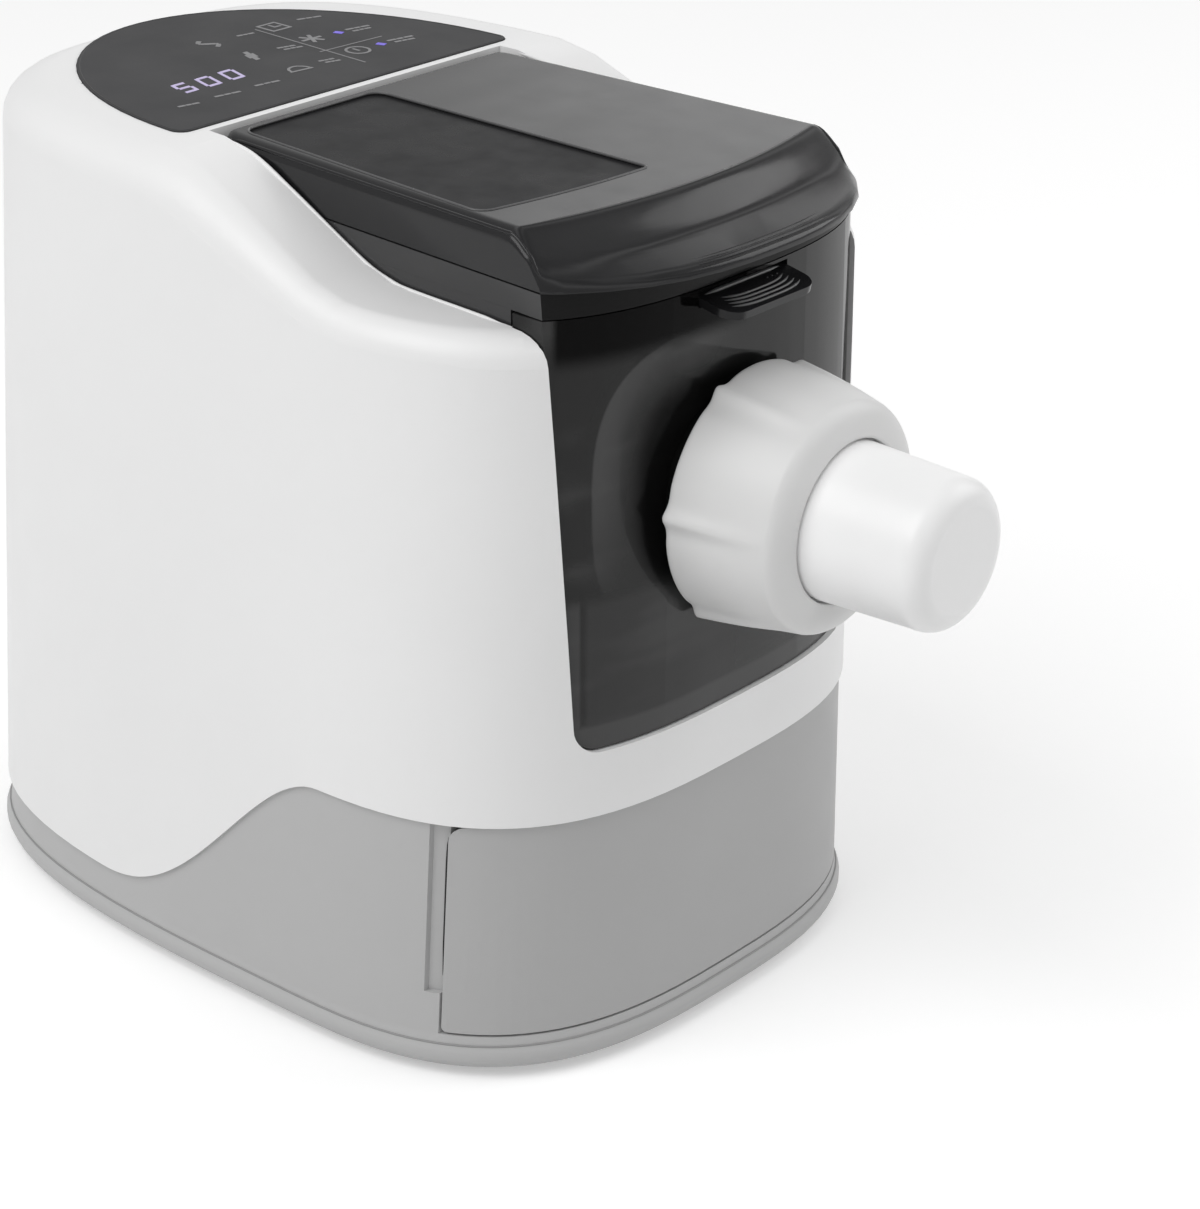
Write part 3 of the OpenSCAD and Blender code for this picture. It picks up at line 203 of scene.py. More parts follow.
class Graph(Nodes):
    """A node material while it is being put together."""

    def __init__(self, name: str) -> None:
        """Start a material with a Principled surface.

        Args:
            name: Name of the material.
        """
        self.material = bpy.data.materials.new(name)
        self.material.use_nodes = True
        super().__init__(self.material.node_tree)
        self.surface = self.tree.nodes["Principled BSDF"]
        self.coords = self.add("TexCoord").outputs["Object"]

    def set(self, **values: float | Colour) -> None:
        """Set sockets of the surface, with spaces in their names written as underscores."""
        for key, value in values.items():
            socket = self.surface.inputs[key.replace("_", " ")]
            socket.default_value = (*value, 1.0) if isinstance(value, tuple) else value

    def drive(self, socket: str, value: Socket) -> None:
        """Feed a socket of the surface."""
        self.tree.links.new(value, self.surface.inputs[socket])

    def noise(self, scale: float, detail: float, stretch: Triple | None = None) -> Socket:
        """Add a noise pattern on the piece.

        Args:
            scale: Features to the metre.
            detail: Number of finer layers.
            stretch: Scale along each axis, or none.

        Returns:
            The pattern's value.
        """
        source = self.coords
        if stretch is not None:
            source = self.add("Mapping", {"Vector": source, "Scale": stretch}).outputs["Vector"]
        return self.add("TexNoise", {"Vector": source, "Scale": scale, "Detail": detail}).outputs["Fac"]

    def gloss(self, value: Socket, low: float, high: float) -> None:
        """Let the roughness drift between two values by a pattern."""
        self.drive("Roughness", self.remap(value, PATTERN, (low, high)))

    def smoked_gloss(self, roughness: float) -> None:
        """Give smoked plastic an uneven gloss, such as handling leaves."""
        self.gloss(self.noise(60.0, 6.0), roughness * 0.7, roughness * 1.3)

    def tint(self, value: Socket, colour: Colour, low: float, high: float) -> None:
        """Let the base colour drift by a pattern.

        Args:
            value: The pattern.
            colour: The colour.
            low: Factor on it where the pattern is low.
            high: Factor on it where the pattern is high.
        """
        ramp = self.add("ValToRGB", {"Fac": value})
        for stop, place, factor in zip(ramp.color_ramp.elements, PATTERN, (low, high), strict=True):
            stop.position = place
            stop.color = (*(min(1.0, channel * factor) for channel in colour), 1.0)
        self.drive("Base Color", ramp.outputs["Color"])

    def relief(self, value: Socket, depth: float) -> None:
        """Give the surface a relief of a depth in metres."""
        bump = self.add("Bump", {"Height": value, "Distance": depth, "Strength": 1.0})
        self.drive("Normal", bump.outputs["Normal"])


@dataclass(frozen=True)
class Moulded:
    """Moulded plastic with a fine grain and slightly uneven gloss."""

    name: str
    slot: str
    colour: Colour
    roughness: float = 0.45
    gloss_spread: float = 0.05
    mottle: float = 0.012
    grain_per_m: float = 2600.0
    grain_depth: float = 0.00002
    specular: float = 0.5

    def build(self) -> Material:
        """Make the material.

        Returns:
            The material.
        """
        graph = Graph(self.name)
        graph.set(Specular_IOR_Level=self.specular)
        graph.tint(graph.noise(9.0, 4.0), self.colour, 1.0 - self.mottle, 1.0 + self.mottle)
        low, high = self.roughness - self.gloss_spread, self.roughness + self.gloss_spread
        graph.gloss(graph.noise(40.0, 5.0), low, high)
        graph.relief(graph.noise(self.grain_per_m, 2.0), self.grain_depth)
        return graph.material


@dataclass(frozen=True)
class Smoked:
    """Glossy smoked plastic that lets a little light through."""

    name: str
    slot: str
    colour: Colour
    alpha: float
    roughness: float = 0.07
    specular: float = 0.5
    wave_depth: float = 0.00035
    wave_stretch: Triple = (1.0, 1.0, 1.0)

    def build(self) -> Material:
        """Make the material.

        Returns:
            The material.
        """
        graph = Graph(self.name)
        graph.set(Specular_IOR_Level=self.specular, Alpha=self.alpha)
        graph.tint(graph.noise(14.0, 3.0), self.colour, 0.9, 1.1)
        graph.smoked_gloss(self.roughness)
        # Long shallow waves of the moulding, which bend reflections slightly
        graph.relief(graph.noise(22.0, 1.0, self.wave_stretch), self.wave_depth)
        return graph.material


@dataclass(frozen=True)
class SmokedPanelWithPaintedLight:
    """Smoked panel whose colour carries painted light and shade: a lit flange ring, lit inner walls and
    light streaks that seem to show through, and painted shade under the lid and by the nut.
    """

    name: str
    slot: str
    # Base colour: of the plastic over a dark inside, of the painted light of what seems to show through,
    # and what both get on top
    clear: float = 0.009
    painted_through_light: float = 0.060
    deep: float = 0.0025
    alpha: float = 0.96
    roughness: float = 0.07
    specular: float = 0.27
    shaded_specular: float = 0.06
    wave_depth: float = 0.00035
    # Middle of the flange that is painted as if behind the panel, in metres across and up, its size and how
    # square it is
    flange: Pair = (-0.015, 0.2035)
    flange_r: float = 0.052
    flange_power: float = 3.0
    streak_stretch: Triple = (0.35, 1.0, 1.6)
    # Soft masks that place the painted light and shade: what they follow, where they start, where they are
    # full and how strong they are. X runs across the panel and Z up it, in metres, "In" runs inward from
    # the flange's rim, "Streak" is a noise
    masks: tuple[tuple[str, str, Pair, float], ...] = (
        ("rim_edge", "In", (0.0, 0.0012), 1.0),
        ("rim_fade", "In", (0.0192, 0.0012), 1.0),
        ("hollow", "In", (0.013, 0.022), 0.85),
        ("lit_height", "Z", (0.155, 0.215), 1.0),
        ("lit_side", "X", (0.005, -0.035), 1.0),
        ("painted_light_streaks", "Streak", (0.45, 0.75), 0.5),
        ("below_floor", "Z", (0.174, 0.168), 1.0),
        ("near_wall", "X", (-0.070, -0.067), 0.4),
        ("wall_strip", "X", (-0.0695, -0.0710), 0.75),
        ("bottom_band", "Z", (0.1290, 0.1250), 0.9),
        ("painted_shade_under_lid", "Z", (0.2485, 0.2565), 1.0),
        ("left_of_middle", "X", (0.0025, 0.0005), 1.0),
        ("off_left_edge", "X", (-0.0795, -0.0765), 1.0),
        ("far_side", "X", (0.046, 0.070), 0.8),
    )

    def inward(self, graph: Graph, x: Socket, z: Socket) -> Socket:
        """Measure how far a spot lies inside the flange's rim.

        Args:
            graph: The material.
            x: The spot's place across.
            z: The spot's height.

        Returns:
            The distance.
        """
        sides = [graph.join("SUBTRACT", spot, middle) for spot, middle in zip((x, z), self.flange)]
        sizes = [graph.join("ABSOLUTE", side, 0.0) for side in sides]
        powers = [graph.join("POWER", size, self.flange_power) for size in sizes]
        radius = graph.join("POWER", graph.join("ADD", *powers), 1.0 / self.flange_power)
        return graph.join("SUBTRACT", self.flange_r, radius)

    def build(self) -> Material:
        """Make the material.

        Returns:
            The material.
        """
        graph = Graph(self.name)
        graph.set(Alpha=self.alpha, Specular_IOR_Level=self.specular)
        spot = graph.add("SeparateXYZ", {0: graph.coords}).outputs
        follows = {"X": spot["X"], "Z": spot["Z"], "Streak": graph.noise(34.0, 2.0, self.streak_stretch)}
        follows["In"] = self.inward(graph, spot["X"], spot["Z"])
        mask = {name: graph.step(follows[along], span, level) for name, along, span, level in self.masks}
        # Painted highlight: the flange is painted lit along its outer rim, fading into painted shade
        # towards the nut
        rim = graph.join("MULTIPLY", mask["rim_edge"], mask["rim_fade"])
        glow = graph.join("MULTIPLY", rim, mask["lit_height"], mask["lit_side"])
        # Painted light of lit inner walls low on the panel, as if seen through
        low = graph.join("MAXIMUM", mask["near_wall"], mask["wall_strip"], mask["bottom_band"])
        painted_lit_walls = graph.join("MULTIPLY", mask["below_floor"], low)
        # Painted light streaks on the lit side
        painted_streak_light = graph.join("MULTIPLY", mask["painted_light_streaks"], mask["lit_side"])
        painted_through_lights = graph.join("ADD", graph.join("MAXIMUM", glow, painted_lit_walls), painted_streak_light)
        light = graph.remap(painted_through_lights, (0.0, 1.0), (self.clear, self.painted_through_light))
        # Painted shade under the lid, and by the nut
        painted_lid_shade = graph.join("MULTIPLY", mask["painted_shade_under_lid"], mask["left_of_middle"], mask["off_left_edge"])
        dark = graph.join("MAXIMUM", painted_lid_shade, mask["hollow"])
        tone = graph.join("MULTIPLY", light, graph.join("SUBTRACT", 1.0, dark))
        graph.drive("Base Color", graph.join("ADD", tone, self.deep))
        # The painted shade also dulls the gloss, and the far side is dulled so that it looks darker
        dull = graph.join("MAXIMUM", dark, mask["far_side"])
        specular = graph.remap(dull, (0.0, 1.0), (self.specular, self.shaded_specular))
        graph.drive("Specular IOR Level", specular)
        graph.smoked_gloss(self.roughness)
        graph.relief(graph.noise(22.0, 1.0), self.wave_depth)
        return graph.material


@dataclass(frozen=True)
class Metal:
    """Turned or rolled metal with fine lines along one axis."""

    name: str
    slot: str
    colour: Colour
    roughness: float = 0.32
    lines: Triple = (1.0, 0.03, 1.0)

    def build(self) -> Material:
        """Make the material.

        Returns:
            The material.
        """
        graph = Graph(self.name)
        graph.set(Metallic=1.0)
        graph.tint(graph.noise(30.0, 4.0), self.colour, 0.93, 1.05)
        graph.gloss(graph.noise(1500.0, 3.0, self.lines), self.roughness - 0.08, self.roughness + 0.1)
        graph.relief(graph.noise(1800.0, 2.0, self.lines), 0.00001)
        return graph.material


@dataclass(frozen=True)
class Ink:
    """Printed or lit marks."""

    name: str
    slot: str
    colour: Colour
    glow: float = 0.0
    roughness: float = 0.4

    def build(self) -> Material:
        """Make the material.

        Returns:
            The material.
        """
        graph = Graph(self.name)
        graph.tint(graph.noise(700.0, 2.0), self.colour, 0.9, 1.08)
        graph.set(Roughness=self.roughness)
        if self.glow:
            graph.set(Emission_Color=self.colour, Emission_Strength=self.glow)
        return graph.material


def grey(level: float, blue: float = 0.0) -> Colour:
    """Return a grey, whose blue may differ a little."""
    return (level, level, level + blue)


class Look(Enum):
    """Every finish of the machine."""

    SHELL = Moulded("white_shell", "shell_white", grey(0.88), 0.42)
    BASE = Moulded("grey_base", "base_grey", grey(0.49), 0.5, grain_depth=0.00003)
    BASE_LINE = Moulded("grey_base_line", "base_grey", grey(0.30), 0.5)
    DRAWER = Moulded("grey_drawer", "base_grey", grey(0.455), 0.48, grain_depth=0.00003)
    FOOT = Moulded("foot_rubber", "bead_rubber", grey(0.16), 0.8, grain_depth=0.00005)
    LID = Smoked("smoked_lid", "smoked", grey(0.012, 0.001), 0.97, 0.17, 0.37, 0.0008, (0.16, 1.0, 1.0))
    INSET = Smoked("smoked_inset", "smoked", grey(0.021, 0.001), 0.99, 0.30, 0.03, 0.0001)
    # Lighter smoked plastic on beads along edges and ribs: a painted highlight
    PAINTED_HIGHLIGHT = Smoked("smoked_painted_highlight", "smoked", grey(0.085, 0.002), 0.97, 0.3)
    PANEL = SmokedPanelWithPaintedLight("smoked_panel", "smoked")
    # Lighter smoked plastic for the band along the front panel's border: a painted highlight
    PANEL_BORDER_HIGHLIGHT = Smoked("smoked_panel_edge", "smoked", grey(0.05, 0.002), 0.95, 0.12)
    RIM = Smoked("smoked_rim", "smoked", grey(0.006), 0.97, 0.12, 0.12)
    OVERLAY = Moulded("panel_overlay", "panel_black", grey(0.05, 0.002), 0.5, 0.04, 0.03, 5000.0, 1e-5, 0.1)
    OUTLINE = Moulded("panel_outline", "panel_black", grey(0.022, 0.001), 0.4, specular=0.2)
    DARK = Moulded("dark_plastic", "dark_plastic", grey(0.045, 0.002), 0.4)
    CHAMBER = Smoked("smoked_chamber", "dark_plastic", grey(0.042, 0.001), 0.97, 0.18, 0.42)
    BARREL = Moulded("barrel_plastic", "dark_plastic", grey(0.42), 0.35)
    TAB = Moulded("tab_plastic", "dark_plastic", grey(0.012, 0.001), 0.24, specular=0.25)
    NUT = Moulded("nut_plastic", "nut_grey", grey(0.76, -0.003), 0.4)
    HOOD = Moulded("hood_plastic", "hood_white", grey(0.96), 0.34)
    MIXER = Moulded("mixer_plastic", "hood_white", grey(0.80, -0.01), 0.4)
    DIE = Moulded("die_plastic", "die_plastic", (0.76, 0.74, 0.66), 0.45)
    SEAL = Moulded("seal_rubber", "seal_rubber", (0.33, 0.10, 0.08), 0.7)
    BOARD = Moulded("circuit_board", "board_green", (0.03, 0.16, 0.07), 0.35, mottle=0.08)
    NYLON = Moulded("gear_nylon", "gear_nylon", (0.78, 0.76, 0.68), 0.5)
    STEEL = Metal("machined_steel", "steel", grey(0.60, 0.01))
    BRASS = Metal("sintered_brass", "brass", (0.72, 0.53, 0.24), 0.35)
    BIN = Moulded("bin_plastic", "bin_plastic", (0.66, 0.67, 0.68), 0.38)
    PRINT = Ink("printed_marks", "panel_black", grey(0.20, 0.005))
    DIGITS = Ink("lit_digits", "panel_black", (0.40, 0.35, 0.54), 0.38)
    LAMP = Ink("lit_marks", "panel_black", (0.10, 0.07, 0.42), 0.7)


@cache
def paint(look: Look) -> Material:
    """Make a finish once and hand it out."""
    return look.value.build()


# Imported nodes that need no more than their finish
NODE_LOOKS = {
    Look.SHELL: "body_shell",
    Look.BASE: "base_tray",
    Look.FOOT: "foot_front_left foot_front_right foot_rear_left foot_rear_right",
    Look.STEEL: "inner_frame output_bearing motor_case base_screws lid_magnet output_shaft stage_shaft "
    "motor_rotor",
    Look.DARK: "display_module gearbox_case gearbox_cover motor_end_bell power_inlet lid_switch",
    Look.BOARD: "control_board power_board",
    Look.SEAL: "shaft_seal barrel_gasket die_gasket",
    Look.BARREL: "extrusion_barrel",
    Look.DIE: "pasta_die",
    Look.HOOD: "outlet_hood",
    Look.MIXER: "mixing_paddle extrusion_screw",
    Look.NYLON: "output_gear stage_gear",
    Look.BRASS: "motor_pinion",
    Look.DRAWER: "drawer_front",
    Look.BIN: "drawer_bin",
}
# Bevels on the crisp edges of those that show
EDGE_BEVELS_MM = {"body_shell": 0.4, "base_tray": 0.4, "drawer_front": 0.5, "outlet_hood": 0.4}


# ---- Making pieces ----


@dataclass(frozen=True)
class Bead:
    """A round bead along a line in the frame, which thins out over a few points at open ends."""

    points: Line
    radius_mm: float
    closed: bool = False
    taper: int = 1
    # Share of the radius that is left at an open end
    tip: float = 0.15


def chains(edges: Iterable[Edge]) -> list[list[Vert]]:
    """Sort edges into closed loops, the longest first.

    Args:
        edges: Edges that form loops.

    Returns:
        Each loop's corners in order.
    """
    links: dict[Vert, list[Vert]] = {}
    for edge in edges:
        first, second = edge.verts
        links.setdefault(first, []).append(second)
        links.setdefault(second, []).append(first)
    left = set(links)
    loops = []
    for start in links:
        loop: list[Vert] = []
        onward = [start]
        while onward := [vert for vert in onward if vert in left]:
            loop.append(onward[0])
            left.discard(onward[0])
            onward = links[onward[0]]
        if loop:
            loops.append(loop)
    return sorted(loops, key=len, reverse=True)


def border(faces: Iterable[bmesh.types.BMFace]) -> list[Vert]:
    """Return the longest loop that bounds a patch of faces."""
    # A dict keeps the order that a set loses, so the loop starts at the same corner each run
    patch = dict.fromkeys(faces)
    return chains(e for f in patch for e in f.edges if sum(g in patch for g in e.link_faces) == 1)[0]


def even(points: Sequence[Vector], step: float) -> list[Vector]:
    """Space the points of a closed line evenly.

    Args:
        points: Corners of the line.
        step: Wanted distance between points.

    Returns:
        The new points.
    """
    closed = [*points, points[0]]
    lengths = [(b - a).length for a, b in pairwise(closed)]
    count = max(8, round(sum(lengths) / step))
    result, index, passed = [], 0, 0.0
    for k in range(count):
        target = sum(lengths) * k / count
        while index < len(lengths) - 1 and passed + lengths[index] < target:
            passed += lengths[index]
            index += 1
        share = (target - passed) / lengths[index] if lengths[index] else 0.0
        result.append(closed[index].lerp(closed[index + 1], share))
    return result


def inward_sides(points: Sequence[Vector], normal: Vector, reach: int) -> list[Vector]:
    """Return the direction into a closed line at each of its points.

    Args:
        points: The line.
        normal: Normal of the face that it lies on.
        reach: How many points away its direction is taken.

    Returns:
        Unit vectors on the face.
    """
    middle = sum(points, Vector()) / len(points)
    sides = []
    for index, point in enumerate(points):
        ahead = points[(index + reach) % len(points)] - points[index - reach]
        side = ahead.cross(normal).normalized()
        sides.append(-side if side.dot(middle - point) < 0 else side)
    return sides


def wire(bm: Mesh, points: Iterable[Vector]) -> list[Edge]:
    """Add a closed line of edges to a mesh."""
    verts = [bm.verts.new(point) for point in points]
    return [bm.edges.new((a, b)) for a, b in zip(verts, [*verts[1:], verts[0]], strict=True)]


def to_frame(bm: Mesh) -> None:
    """Move a mesh from the body's millimetres into the frame's metres."""
    bmesh.ops.translate(bm, vec=BODY_ORIGIN_MM, verts=bm.verts)
    bmesh.ops.scale(bm, vec=(MM, MM, MM), verts=bm.verts)


class Workshop:
    """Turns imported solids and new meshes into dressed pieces."""

    # Corners closer than this become one, and edges shorter than this go, in metres
    weld_m = 2e-6
    sliver_m = 1e-6
    # Facets that turn less than this become one face, and edges that turn less get no bevel
    flat_deg = 0.1
    bevel_from_deg = 40.0

    def __init__(self, frame: dict) -> None:
        """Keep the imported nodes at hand."""
        self.nodes: dict[str, Piece] = frame["nodes"]

    def welded(self, node: str) -> Mesh:
        """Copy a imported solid's triangles as one welded mesh of larger faces.

        Args:
            node: The solid's node.

        Returns:
            The mesh, which the caller frees.
        """
        bm = bmesh.new()
        bm.from_mesh(self.nodes[node].data)
        bmesh.ops.remove_doubles(bm, verts=bm.verts, dist=self.weld_m)
        bmesh.ops.dissolve_degenerate(bm, edges=bm.edges, dist=self.sliver_m)
        flat = math.radians(self.flat_deg)
        bmesh.ops.dissolve_limit(bm, angle_limit=flat, verts=bm.verts, edges=bm.edges, delimit={"NORMAL"})
        return bm

    def smooth(
        self,
        node: str,
        look: Look,
        crease_deg: float = 32.0,
        bevel_mm: float = 0.0,
        change: Callable[[Mesh], None] | None = None,
        more: tuple[Look, ...] = (),
    ) -> None:
        """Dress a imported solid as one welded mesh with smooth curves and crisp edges.

        Args:
            node: The solid's node.
            look: Its finish.
            crease_deg: Angle above which an edge stays crisp.
            bevel_mm: Width of the bevel on crisp edges, or nothing.
            change: What is done to the welded mesh, such as marking faces for another finish.
            more: Further finishes that the change hands out.
        """
        bm = self.welded(node)
        if change is not None:
            change(bm)
        piece = self.solid(bm, f"{node}_dressed", look, self.nodes[node]["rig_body"], crease_deg)
        for extra in more:
            piece.data.materials.append(paint(extra))
        if bevel_mm:
            bevel = piece.modifiers.new("edge_bevel", "BEVEL")
            bevel.width = bevel_mm * MM
            bevel.segments = 2
            bevel.limit_method = "ANGLE"
            bevel.angle_limit = math.radians(max(crease_deg, self.bevel_from_deg))
            bevel.harden_normals = False
        modifier = piece.modifiers.new("weighted_normals", "WEIGHTED_NORMAL")
        modifier.keep_sharp = True
        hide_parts(node)

    def solid(self, bm: Mesh, name: str, look: Look, body: str, crease_deg: float = 35.0) -> Piece:
        """Turn a mesh whose faces point outwards into a piece.

        Args:
            bm: The mesh, in the frame's metres. It is freed.
            name: Name of the piece.
            look: Its finish.
            body: The body that it rides on.
            crease_deg: Angle above which an edge stays crisp.

        Returns:
            The piece.
        """
        mesh = bpy.data.meshes.new(name)
        bm.to_mesh(mesh)
        bm.free()
        mesh.shade_smooth()
        mesh.set_sharp_from_angle(angle=math.radians(crease_deg))
        return self.place(mesh, name, look, body)

    def modelled(self, bm: Mesh, name: str, look: Look, body: str, crease_deg: float = 35.0) -> Piece:
        """Turn a new mesh into a piece, with its faces turned outwards first."""
        bmesh.ops.recalc_face_normals(bm, faces=bm.faces)
        return self.solid(bm, name, look, body, crease_deg)

    def beads(self, name: str, lines: Iterable[Bead], look: Look, body: str) -> None:
        """Lay round beads along lines, as one piece.

        Args:
            name: Name of the piece.
            lines: The beads.
            look: Their finish.
            body: The body that they ride on.
        """
        curve = bpy.data.curves.new(name, "CURVE")
        curve.dimensions = "3D"
        curve.bevel_depth = MM
        curve.bevel_resolution = 2
        curve.use_fill_caps = True
        for line in lines:
            spline = curve.splines.new("POLY")
            last = len(line.points) - 1
            spline.points.add(last)
            for index, (point, spot) in enumerate(zip(spline.points, line.points, strict=True)):
                point.co = (*spot, 1.0)
                near = line.tip + min(index, last - index) / line.taper
                point.radius = line.radius_mm * (1.0 if line.closed else min(1.0, near))
            spline.use_cyclic_u = line.closed
        holder = bpy.data.objects.new(name, curve)
        mesh = bpy.data.meshes.new_from_object(holder)
        bpy.data.objects.remove(holder)
        bpy.data.curves.remove(curve)
        mesh.name = name
        mesh.shade_smooth()
        self.place(mesh, name, look, body)

    def place(self, mesh: bpy.types.Mesh, name: str, look: Look, body: str) -> Piece:
        """Put a mesh into the scene as a piece.

        Args:
            mesh: The mesh, already in the frame's place.
            name: Name of the piece.
            look: Its finish.
            body: The body that it rides on.

        Returns:
            The piece.
        """
        mesh.materials.append(paint(look))
        piece = bpy.data.objects.new(name, mesh)
        bpy.context.scene.collection.objects.link(piece)
        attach(piece, body)
        LOG.info("piece %s on %s", name, body)
        return piece


# ---- Sub-assemblies ----


@dataclass
class Part:
    """A sub-assembly, and the workshop that dresses it."""

    shop: Workshop


@dataclass
class Plain(Part):
    """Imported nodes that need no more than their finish."""

    crease_deg: float = 30.0

    def build(self) -> None:
        """Dress them all, with bevels on the crisp edges of those that show."""
        for look, nodes in NODE_LOOKS.items():
            for node in nodes.split():
                self.shop.smooth(node, look, self.crease_deg, EDGE_BEVELS_MM.get(node, 0.0))


@dataclass
class Lid(Part):
    """Smoked lid with a sunk tray, an ogee front and a lip with grip lines."""

    back_y: float = 72.0
    # Height at which the lid keeps its gap to the well
    side_z: float = 273.0
    side_gap: float = 0.8
    corner: float = 5.5
    # Line where the flat top turns down, and how far back it is at the sides
    crest_y: float = -73.0
    crest_back: float = 11.5
    crest_run: float = 15.0
    crest_turn: float = 10.5
    crest_fall: float = 9.6
    lip_y: float = -107.0
    lip_back: float = 27.0
    lip_power: float = 2.6
    lip_corner: float = 2.5
    lip_corner_power: float = 16.0
    lip_fall: float = 13.6
    lip_end_fall: float = 1.4
    side_round: float = 5.0
    lip_round: float = 2.4
    back_round: float = 2.5
    tray_z: float = 289.2
    tray_slack: float = 0.05
    # Beads: radius, and how far each is sunk as a share of it
    tray_bead: float = 0.55
    tray_sunk: float = 0.25
    tray_step: float = 2.0
    crest_bead: float = 0.45
    crest_sunk: float = 0.5
    crest_bead_in: float = 0.6
    crest_share: float = 0.93
    side_bead: float = 0.7
    side_sunk: float = 0.35
    side_in: float = 1.5
    side_share: float = 0.98
    side_stop: float = 2.5
    grip_half: float = 34.0
    ridges_in: tuple[float, ...] = (4.5, 2.2)
    ridge_r: float = 0.42
    ridge_sunk: float = 0.15
    lines_in: tuple[float, ...] = (5.7, 3.4, 1.1)
    line_r: float = 0.2
    line_sunk: float = 0.08

    def half(self, y: float) -> float:
        """Return half of the lid's width at a depth."""
        past = min(self.corner, max(0.0, y - self.back_y + self.corner))
        return well_half(y, self.side_z) - self.side_gap - self.corner + math.sqrt(self.corner**2 - past**2)

    def lip(self, share: float) -> float:
        """Return the depth of the lip's edge at a share of the half width."""
        corner = self.lip_corner * abs(share) ** self.lip_corner_power
        return self.lip_y + self.lip_back * abs(share) ** self.lip_power + corner

    def top(self, x: float, y: float) -> float:
        """Return the height of the lid's upper face.

        Args:
            x: Place across the lid.
            y: Depth.

        Returns:
            The height.
        """
        share = max(-1.0, min(1.0, x / self.half(y)))
        start = self.crest_y + self.crest_back * share**2
        down = max(0.0, start - y)
        front = unit(down / self.crest_run)
        rest = unit((down - self.crest_turn) / (start - self.lip(share) - self.crest_turn))
        fall = self.lip_fall + self.lip_end_fall * share**2 - self.crest_fall
        side = rounding((1.0 - abs(share)) * self.half(y), max(1.0, self.side_round * (1.0 - front)))
        lip = rounding(max(0.0, y - self.lip(share)), self.lip_round)
        back = rounding(max(0.0, self.back_y - y), self.back_round)
        return TOP_Z - self.crest_fall * ease(front) - fall * rest - max(side, lip, back)

    def under_top(self, x: float, y: float, sunk: float) -> Vector:
        """Return the point at a depth under the upper face, in the frame."""
        return at(x, y, self.top(x, y) - sunk)

    def paint_tray(self, bm: Mesh) -> None:
        """Give the floor of the tray its own finish, and remember the line over its border.

        Args:
            bm: The lid's mesh.
        """
        floor_z = at(0, 0, self.tray_z).z
        for face in bm.faces:
            if face.normal.z > LEVEL and abs(face.calc_center_median().z - floor_z) < self.tray_slack * MM:
                face.material_index = 1
        rise = Vector((0, 0, (TOP_Z - self.tray_z - self.tray_sunk * self.tray_bead) * MM))
        self.tray_line = [vert.co + rise for vert in border(f for f in bm.faces if f.material_index == 1)]

    def lip_line(self, inward: float, sunk: float, steps: int = 48) -> Line:
        """Return a line along the lip.

        Args:
            inward: Distance from the lip's edge.
            sunk: Depth under the surface.
            steps: Number of steps.

        Returns:
            Its points.
        """
        points = []
        for x in spaced(-self.grip_half, self.grip_half, steps):
            y = self.lip_y + inward
            # The edge's depth depends on the width there, so it is worked out in a few rounds
            for _ in range(4):
                y = self.lip(x / self.half(y)) + inward
            points.append(self.under_top(x, y, sunk))
        return tuple(points)

    def side_line(self, side: int, steps: int = 90) -> Line:
        """Return the line along one side of the lid, down to the lip.

        Args:
            side: -1 for the left and 1 for the right.
            steps: Number of steps.

        Returns:
            Its points.
        """
        depths = spaced(self.back_y - self.corner, self.lip(self.side_share) + self.side_stop, steps)
        sunk = self.side_sunk * self.side_bead
        return tuple(self.under_top(side * (self.half(y) - self.side_in), y, sunk) for y in depths)

    def crest_line(self, steps: int = 60) -> Line:
        """Return the line where the flat top turns down.

        Args:
            steps: Number of steps.

        Returns:
            Its points.
        """
        points = []
        for share in spaced(-self.crest_share, self.crest_share, steps):
            y = self.crest_y + self.crest_back * share**2 - self.crest_bead_in
            points.append(self.under_top(share * self.half(y), y, self.crest_sunk * self.crest_bead))
        return tuple(points)

    def build(self) -> None:
        """Dress the lid."""
        more = (Look.INSET,)
        self.shop.smooth("lid", Look.LID, crease_deg=34.0, bevel_mm=0.35, change=self.paint_tray, more=more)
        # Beads along the tray's border and the crest, in lighter plastic as a painted highlight
        light = [Bead(tuple(even(self.tray_line, self.tray_step * MM)), self.tray_bead, closed=True)]
        light.append(Bead(self.crest_line(), self.crest_bead, taper=6))
        self.shop.beads("lid_painted_highlight_beads", light, Look.PAINTED_HIGHLIGHT, "lid_assembly")
        lines = [Bead(self.side_line(side), self.side_bead, taper=3) for side in (-1, 1)]
        lines += [Bead(self.lip_line(d, self.ridge_sunk), self.ridge_r, taper=8) for d in self.ridges_in]
        self.shop.beads("lid_beads", lines, Look.LID, "lid_assembly")
        # Dark lines between the grip ridges: painted shade of the grooves
        dark = [Bead(self.lip_line(d, self.line_sunk), self.line_r, taper=8) for d in self.lines_in]
        self.shop.beads("lid_grip_groove_shade_lines", dark, Look.OUTLINE, "lid_assembly")


